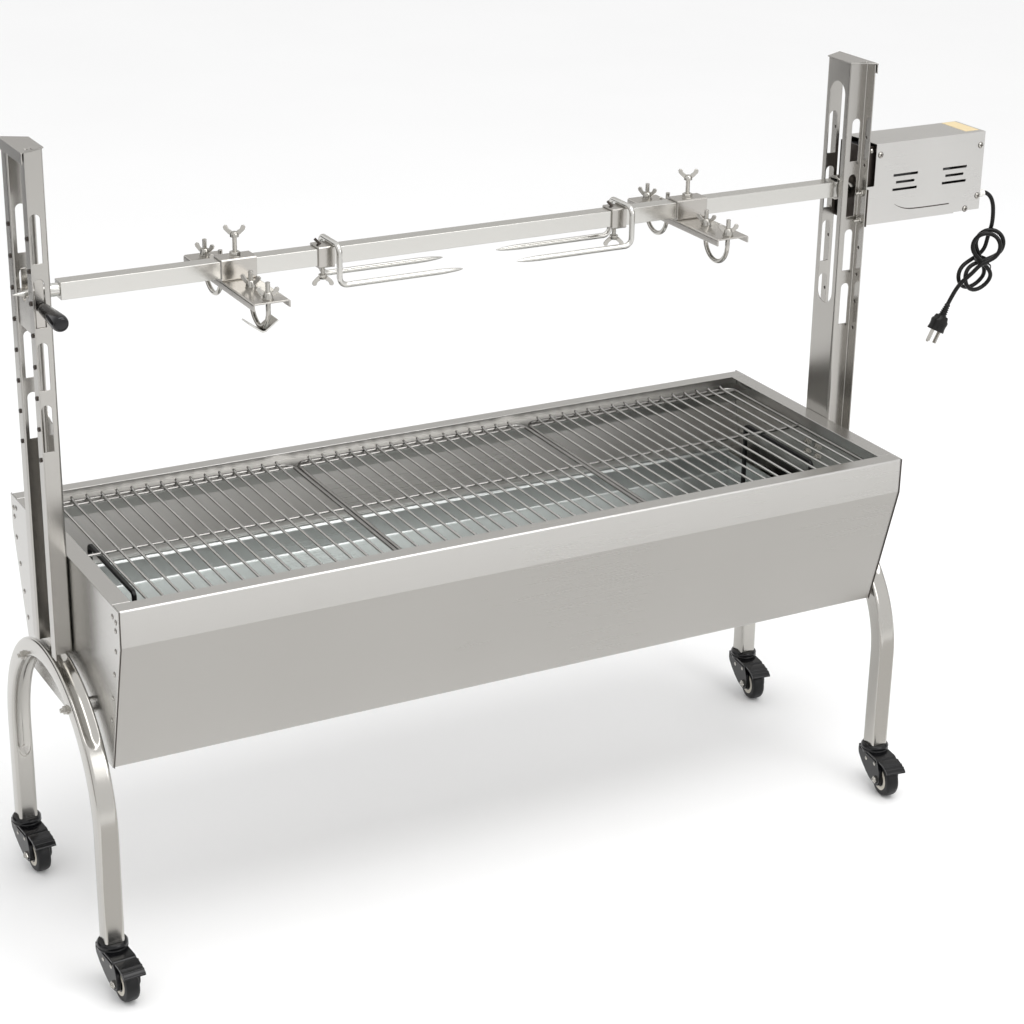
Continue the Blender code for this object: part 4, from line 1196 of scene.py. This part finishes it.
def makeCaster(where, word, near, side):
    look = casterLook
    tag = where + "_" + word
    base = standing(at(side * archLook["x"], near * archLook["y"], 0), radians(look["headings"][word]))
    half = look["half"]
    profile = [
        (0.0175, 0.0560), (0.0178, 0.0470), (0.0160, 0.0420), (0.0060, 0.0330), (-0.0080, 0.0240),
        (-0.0180, 0.0192), (-0.0290, 0.0165), (-0.0380, 0.0160), (-0.0430, 0.0185), (-0.0460, 0.0245),
        (-0.0456, 0.0320), (-0.0440, 0.0400), (-0.0405, 0.0480), (-0.0360, 0.0540), (-0.0330, 0.0560),
    ]
    body = Form().prism(profile, 0, -half, half, base)
    roomPlace = base @ moved(0, -look["trail"], look["wheel"]) @ spun(90, "Y")
    room = Form().lathe(
        [(-0.0098, look["wheel"] + 0.0012), (0.0098, look["wheel"] + 0.0012)], 40, roomPlace,
    )
    below = Form().box((-0.0098, -0.075, 0.005), (0.0098, -look["trail"] + 0.0262, 0.026), base)
    mesh = cut(body.mesh(), [room, below])
    piece(
        "caster_yoke_" + tag, mesh, "swivel_" + tag, "casterBlack",
        ("caster_housing_" + tag,), 0.0016, 35, 3,
    )
    collar = Form()
    rows = [
        (0.0500, 0.0168), (0.0545, 0.0176), (0.0552, 0.0190), (0.0572, 0.0194), (0.0580, 0.0186),
        (0.0592, 0.0186), (0.0600, 0.0193), (0.0622, 0.0192), (0.0632, 0.0182), (0.0646, 0.0176),
        (0.0651, 0.0165),
    ]
    collar.lathe(rows, 40, base)
    collar.lathe([(0.0640, 0.0080), (0.0900, 0.0080), (0.0950, 0.0060)], 20, base)
    for i in (-1, 1):  # ribs along the cheeks
        x = span(i, (half - 0.001), (half + 0.0010))
        collar.box((x[0], -0.0330, 0.0500), (x[1], 0.0150, 0.0520), base)
    piece("caster_collar_" + tag, collar, "swivel_" + tag, "casterBlack", (), 0.0003, 50)
    silver = Form()
    left = spun(-90, "Y")
    right = spun(90, "Y")
    for y, z in ((-0.0060, 0.0440), (-0.0300, 0.0470)):
        silver.dome(0.0030, 0.0014, 16, base @ moved(-half, y, z) @ left)
    axle = moved(-half, -look["trail"], look["wheel"])
    silver.lathe([(0.0, 0.0056), (0.0026, 0.0056), (0.0030, 0.0048)], 6, base @ axle @ left)
    silver.dome(0.0036, 0.0030, 16, base @ axle @ left @ moved(0, 0, 0.0026))
    far = moved(half, -look["trail"], look["wheel"])
    silver.dome(0.0050, 0.0020, 18, base @ far @ right)
    silver.lathe([(-0.0300, 0.0030), (0.0, 0.0030)], 14, base @ far @ right)
    piece("caster_axle_" + tag, silver, "swivel_" + tag, "brightSteel", (), 0.0002)
    wheelPlace = base @ moved(0, -look["trail"], look["wheel"]) @ right
    radius = look["wheel"]
    tyre = Form().lathe([
        (-0.0090, 0.0160), (-0.0090, 0.0215), (-0.0084, 0.0231), (-0.0070, 0.0243), (-0.0050, 0.0249),
        (-0.0020, radius),
        (0.0020, radius), (0.0050, 0.0249), (0.0070, 0.0243), (0.0084, 0.0231), (0.0090, 0.0215),
        (0.0090, 0.0160),
    ], 48, wheelPlace)
    piece(
        "caster_tyre_" + tag, tyre, "wheel_" + tag, "tyreBlack", ("caster_wheel_" + tag,),
        0.0, 50,
    )
    rim = Form()
    hub = Form()
    for way in (-1, 1):
        spin = wheelPlace @ spun(0 if way > 0 else 180, "X")
        rim.lathe(
            [(0.0082, 0.0164), (0.0093, 0.0162), (0.0096, 0.0150), (0.0092, 0.0112), (0.0080, 0.0104)], 40,
            spin, False,
        )
        hub.lathe([(0.0070, 0.0106), (0.0094, 0.0102), (0.0096, 0.0070), (0.0090, 0.0044)], 32, spin)
    piece("caster_rim_" + tag, rim, "wheel_" + tag, "hubCream", (), 0.0, 50)
    piece("caster_hub_" + tag, hub, "wheel_" + tag, "casterBlack", (), 0.0, 50)
    pedalPlace = base @ moved(0, look["pedalY"], look["pedalZ"])
    outline = [
        (-0.0008, 0.0010), (-0.0008, -0.0022), (-0.0100, -0.0030), (-0.0180, -0.0052),
        (-0.0250, -0.0098), (-0.0285, -0.0085), (-0.0275, -0.0056), (-0.0235, -0.0030),
        (-0.0232, -0.0016), (-0.0215, -0.0016), (-0.0210, -0.0024), (-0.0175, -0.0010),
        (-0.0172, 0.0004), (-0.0155, 0.0004), (-0.0150, -0.0004), (-0.0080, 0.0010),
    ]
    pedal = Form().prism(outline, 0, -0.0142, 0.0142, pedalPlace)
    piece(
        "brake_lever_" + tag, pedal, "pedal_" + tag, "casterBlack", ("brake_pedal_" + tag,),
        0.0007, 40,
    )
    pin = Form().dome(0.0022, 0.0016, 14, pedalPlace @ moved(0.0142, -0.0040, -0.0008) @ right)
    piece("brake_pin_" + tag, pin, "pedal_" + tag, "brightSteel")


print("bending the legs")
for word, side in (("left", -1), ("right", 1)):
    makeArch(word, side)
    for where, near in (("front", -1), ("back", 1)):
        makeCaster(where, word, near, side)


motorLook = {
    "half": 0.033, "top": 0.898, "lipBolts": (0.8338, 0.7957),
    "screws": ((0.6062, 0.8826), (0.7802 - 0.004, 0.8790), (0.7780, 0.8073), (0.7583, 0.7907)),
    "slit": (
        (0.6353, 0.8112), (0.6450, 0.8062), (0.6560, 0.8030), (0.6680, 0.8018), (0.6900, 0.8014),
        (0.7291, 0.8014),
    ),
    "label": ((0.7560, -0.0230), (0.7790, 0.0310)),
}


def screwHead(form, place, radius):  # pan head, with no cross
    form.lathe(
        [(0.0, radius), (0.0008, radius), (0.0018, radius * 0.78), (0.0021, radius * 0.45)], 18, place,
    )


def makeCoverDetails():
    look = motorLook
    screws = Form()
    screwShade = Form()
    for face in (-1, 1):
        out = spun(-face * 90, "X")
        for i, (x, z) in enumerate(look["screws"]):
            spot = placed(x, face * look["half"], z) @ out
            screwHead(screws, spot, 0.0040)
            # a dark disc under each head is painted shadow round it, and the dark cross on the head is
            # painted shade in its recess
            screwShade.lathe([(-0.0002, 0.0045), (0.0002, 0.0045)], 18, spot)
            spin = spot @ Matrix.Rotation(0.5 + i, 4, "Z")
            screwShade.box((-0.0026, -0.0006, 0.0012), (0.0026, 0.0006, 0.0022), spin)
            screwShade.box((-0.0006, -0.0026, 0.0012), (0.0006, 0.0026, 0.0022), spin)
    piece("cover_screws", screws, "motor_carriage", "brightSteel")
    piece("cover_screw_shade", screwShade, "motor_carriage", "darkSteelAndShade")
    # a dark strip laid along the slit is painted shade in the opening
    slit = Form()
    line = evenly([at(x, -look["half"], z) for x, z in look["slit"]], 0.004)
    sizes = [0.25 + 0.75 * min(1.0, i / 6) for i in range(len(line))]
    slit.sweep(line, [(a * 0.7, b * 0.35) for a, b in ring(0.0012, 8)], None, (0, 0, 1), False, sizes)
    piece("cover_slit_shade", slit, "motor_carriage", "darkSteelAndShade")
    near, far = look["label"]
    label = Form().box(at(*near, look["top"] - 0.0002), at(*far, look["top"] + 0.0003))
    piece("cover_sticker", label, "motor_carriage", "sticker", (), 0.0002)


def makeBracketScrew():
    form = Form()
    spot = placed(0.5960, -0.0260, 0.8875) @ spun(90, "X")
    form.lathe([(0.0, 0.0034), (0.0010, 0.0034), (0.0022, 0.0022)], 18, spot)
    piece("bracket_screw", form, "motor_carriage", "brightSteel")


def makeLipBolts():  # bolts through the right post's lips that carry the motor
    form = Form()
    for y in (-postLook["holeY"], postLook["holeY"]):
        for z in motorLook["lipBolts"]:
            base = placed(postLook["x"] + postLook["depth"] - 0.0015, y, z) @ spun(-90, "Y")
            form.lathe([(-0.0022, 0.0044), (0.0006, 0.0044), (0.0007, 0.0042)], 16, base)
            form.lathe([(0.0007, 0.0046), (0.0036, 0.0046), (0.0041, 0.0040)], 6, base)
            form.thread(0.0021, 0.0038, 0.0125, 0.0008, 12, base)
    piece("carriage_bolts", form, "motor_carriage", "brightSteel", (), 0.0002)


print("fitting the motor")
shown("motor_cover", "coverSheet", 0.0005)
shown("motor_base", "darkSteelAndShade", 0.0005)
shown("gear_motor", "motorGrey", 0.0010)
makeCoverDetails()
makeBracketScrew()
makeLipBolts()


spitLook = {
    "z": 0.8356, "side": 0.021, "collar": 0.0135, "gap": 0.0004,
    "forks": {"left": (-0.202, 1), "right": (0.2104, -1)}, "clamps": {"left": -0.316, "right": 0.321},
}
forkLook = {
    "radius": 0.0036, "spread": 0.028, "under": -0.033, "rodX": 0.010, "length": 0.168, "point": 0.036,
}
clampLook = {
    "half": 0.0235, "reach": 0.1125, "boltY": 0.074, "bend": 0.026, "rows": 34, "nutTurns": (-25, -50),
}


def wingOutline(side, inner, outer, low, high):  # a flared ear with a round end
    points = [
        (inner, low), (inner + (outer - inner) * 0.45, low + (high - low) * 0.22),
        (outer, low + (high - low) * 0.62),
    ]
    points += [
        (outer + 0.0008, low + (high - low) * 0.84), (outer - 0.0010, high),
        (outer - 0.0042, high - 0.0004),
    ]
    points += [
        (inner + (outer - inner) * 0.38, low + (high - low) * 0.66), (inner, low + (high - low) * 0.48),
    ]
    return [(side * a, b) for a, b in points]


def wings(form, hub, place, outer, low, high):
    form.lathe(hub, 18, place)
    for side in (-1, 1):
        form.prism(wingOutline(side, 0.0030, outer, low, high), 1, -0.0013, 0.0013, place)


def makeWingScrew(name, body, place, length):  # shank down -Z with its wings at the far end
    form = Form()
    form.thread(0.0030, -length, 0.0, 0.0010, 14, place)
    down = place @ moved(0, 0, -length) @ spun(180, "X")
    wings(
        form, [(-0.0006, 0.0056), (0.0022, 0.0054), (0.0050, 0.0044), (0.0058, 0.0030)], down, 0.0126,
        0.0002, 0.0138,
    )
    piece(name + "_winged", form, body, "brightSteel", (name,), 0.0004, 45)


def makeFork(word):
    x0, way = spitLook["forks"][word]
    base = placed(x0, 0, spitLook["z"])
    outer = spitLook["collar"]
    inner = spitLook["side"] / 2 + spitLook["gap"]
    name = "fork_" + word
    shape = roundedBox(2 * outer, 2 * outer, 0.0022, 4), roundedBox(2 * inner, 2 * inner, 0.0006, 4)
    collar = Form().sleeve(*shape, -0.0105, 0.0105, base)
    piece("fork_collar_" + word, collar, name, "clampSheet", (name,), 0.0003, 50)
    radius, spread, under, rodX, length, point = forkLook.values()
    over = outer + radius - 0.0006
    corners = [(rodX + way * (length - point), spread, under), (rodX, spread, under), (rodX, spread, over)]
    corners += [(x, -y, z) for x, y, z in reversed(corners)]
    path = roundPath(corners, 0.0100, 8)
    tip = 14
    steps = [rodX + way * (length - point + point * i / tip) for i in range(1, tip + 1)]
    reach = [Vector((x, spread, under)) for x in steps]
    other = [Vector((p.x, -p.y, p.z)) for p in reach]
    sizes = [max(0.10, sqrt(1 - (i / tip) ** 1.6)) for i in range(1, tip + 1)]
    full = reach[::-1] + list(path) + other
    rod = Form().sweep(
        full, ring(radius, 16), base, (0, 0, 1), False, sizes[::-1] + [1.0] * len(path) + sizes,
    )
    piece("fork_prongs_" + word, rod, name, "spitBar", (name,))
    stub = Form()
    lean = Vector((-0.62, 0.35, 0.70))
    stub.thread(0.0019, -0.002, 0.0085, 0.0009, 12, base @ pointing((rodX - 0.0125, 0.0030, outer), lean))
    piece("fork_stub_" + word, stub, name, "darkSteelAndShade", (), 0.0)
    place = base @ moved(0, 0, -spitLook["side"] / 2 - 0.0004) @ spun(-20, "Z")
    makeWingScrew("fork_screw_" + word, "fork_screw_" + word, place, 0.0145)


def makeClamp(word):
    x0 = spitLook["clamps"][word]
    base = placed(x0, 0, spitLook["z"])
    outer = spitLook["collar"]
    inner = spitLook["side"] / 2 + spitLook["gap"]
    name = "leg_clamp_" + word
    shape = roundedBox(2 * outer, 2 * outer, 0.0026, 4), roundedBox(2 * inner, 2 * inner, 0.0006, 4)
    form = Form().sleeve(*shape, -0.0225, 0.0225, base)
    top = -outer + 0.0004
    half, reach = clampLook["half"], clampLook["reach"]
    line = [(half, top - 0.009), (half, top), (-half, top), (-half, top - 0.009)]
    form.prism(foldedSheet(line, 0.0020, 0.0026, 5), 1, -reach, reach, base)
    piece("clamp_channel_" + word, form, name, "clampSheet", (name,), 0.0003, 50)
    nut = Form().lathe(
        [(outer - 0.0004, 0.0068), (outer + 0.0044, 0.0068), (outer + 0.0050, 0.0060)], 6, base,
    )
    nut.lathe([(outer - 0.0004, 0.0088), (outer + 0.0004, 0.0088)], 20, base)
    piece("clamp_nut_" + word, nut, name, "brightSteel", (), 0.0003)
    place = base @ moved(0, 0, spitLook["side"] / 2 + 0.0004) @ spun(-25, "Z") @ spun(180, "X")
    makeWingScrew("clamp_bolt_" + word, "clamp_bolt_" + word, place, 0.0260)
    for side, where in ((-1, "front"), (1, "back")):
        hook = base @ moved(0, side * clampLook["boltY"], 0)
        bend, rows = clampLook["bend"], clampLook["rows"]
        path, sizes = [], []
        for i in range(rows):  # threaded down the first leg
            path.append(Vector((0, -bend, 0.0075 - 0.0255 * i / rows)))
            sizes.append(1.0 if i % 2 else 0.86)
        arc = [Vector((0, -bend * cos(pi * i / 24), -0.0276 - bend * sin(pi * i / 24))) for i in range(25)]
        full = path + arc + [Vector((0, -p.y, p.z)) for p in reversed(path)]
        rod = Form().sweep(full, ring(0.0030, 12), hook, (1, 0, 0), False, sizes + [1.0] * 25 + sizes[::-1])
        bolt = "u_bolt_" + where + "_" + word
        piece(bolt + "_rod", rod, name, "brightSteel", (bolt,), 0.0, 60)
        for leg, tag, turn in zip((-bend, bend), "ab", clampLook["nutTurns"]):
            seat = hook @ moved(0, leg, top + 0.0004)
            washer = Form().lathe([(-0.0003, 0.0072), (0.0004, 0.0072)], 20, seat)
            nutForm = Form()
            hub = [(0.0, 0.0064), (0.0030, 0.0061), (0.0062, 0.0052), (0.0082, 0.0046), (0.0086, 0.0036)]
            wings(nutForm, hub, seat @ spun(turn, "Z"), 0.0126, 0.0012, 0.0145)
            nutName = "wing_nut_" + where + "_" + word + "_" + tag
            piece(nutName + "_winged", nutForm, nutName, "brightSteel", (nutName,), 0.0004, 45)
            piece(
                "washer_" + where + "_" + word + "_" + tag, washer, name, "brightSteel", (),
                0.0,
            )
    if word == "left":
        hook = base @ moved(0, -clampLook["boltY"], -0.0577)
        line = [(0.018, 0.0131), (0.0, 0.0), (-0.018, 0.0131)]
        jaw = Form().prism(foldedSheet(line, 0.002, 0.0040, 6), 1, -0.011, 0.011, hook)
        piece("v_saddle_left", jaw, name, "spitBar", ("saddle_left",), 0.0003, 50)


knobLook = {"x": -0.5640, "y": -0.0315, "drop": 0.0110}


def makeKnob():
    z = spitLook["z"] - knobLook["drop"]
    place = placed(knobLook["x"], knobLook["y"], z) @ spun(90, "X")
    rows = [
        (-0.0030, 0.0045), (-0.0004, 0.0058), (0.0004, 0.0066), (0.0016, 0.0071), (0.0080, 0.0075),
        (0.0180, 0.0081), (0.0300, 0.0088), (0.0420, 0.0096), (0.0520, 0.0101), (0.0575, 0.0101),
        (0.0610, 0.0096), (0.0635, 0.0086), (0.0648, 0.0074), (0.0652, 0.0058), (0.0655, 0.0030),
    ]
    form = Form().lathe(rows, 40, place)
    piece("rest_knob_grip", form, "rest_knob", "knobBlack", ("rest_knob",), 0.0, 50)
    strap = Form()
    stud = Form()
    for face in (-1, 1):
        y = span(face, 0.0252, 0.0240)
        strap.box(at(-0.5716, y[0], z - 0.040), at(-0.5604, y[1], z + 0.034))
    stud.thread(0.0030, 0.0, 0.0620, 0.0012, 14, placed(knobLook["x"], 0.0340, z) @ spun(90, "X"))
    piece("rest_straps", strap, "rest_carriage", "clampSheet", (), 0.0008)
    piece("rest_stud", stud, "rest_carriage", "brightSteel", (), 0.0)


print("dressing the spit")
shown("spit_rod", "spitBar", 0.0006)
shown("drive_socket", "brightSteel", 0.0008)
shown("spit_rest", "clampSheet", 0.0008)
for word in ("left", "right"):
    makeFork(word)
    makeClamp(word)
makeKnob()
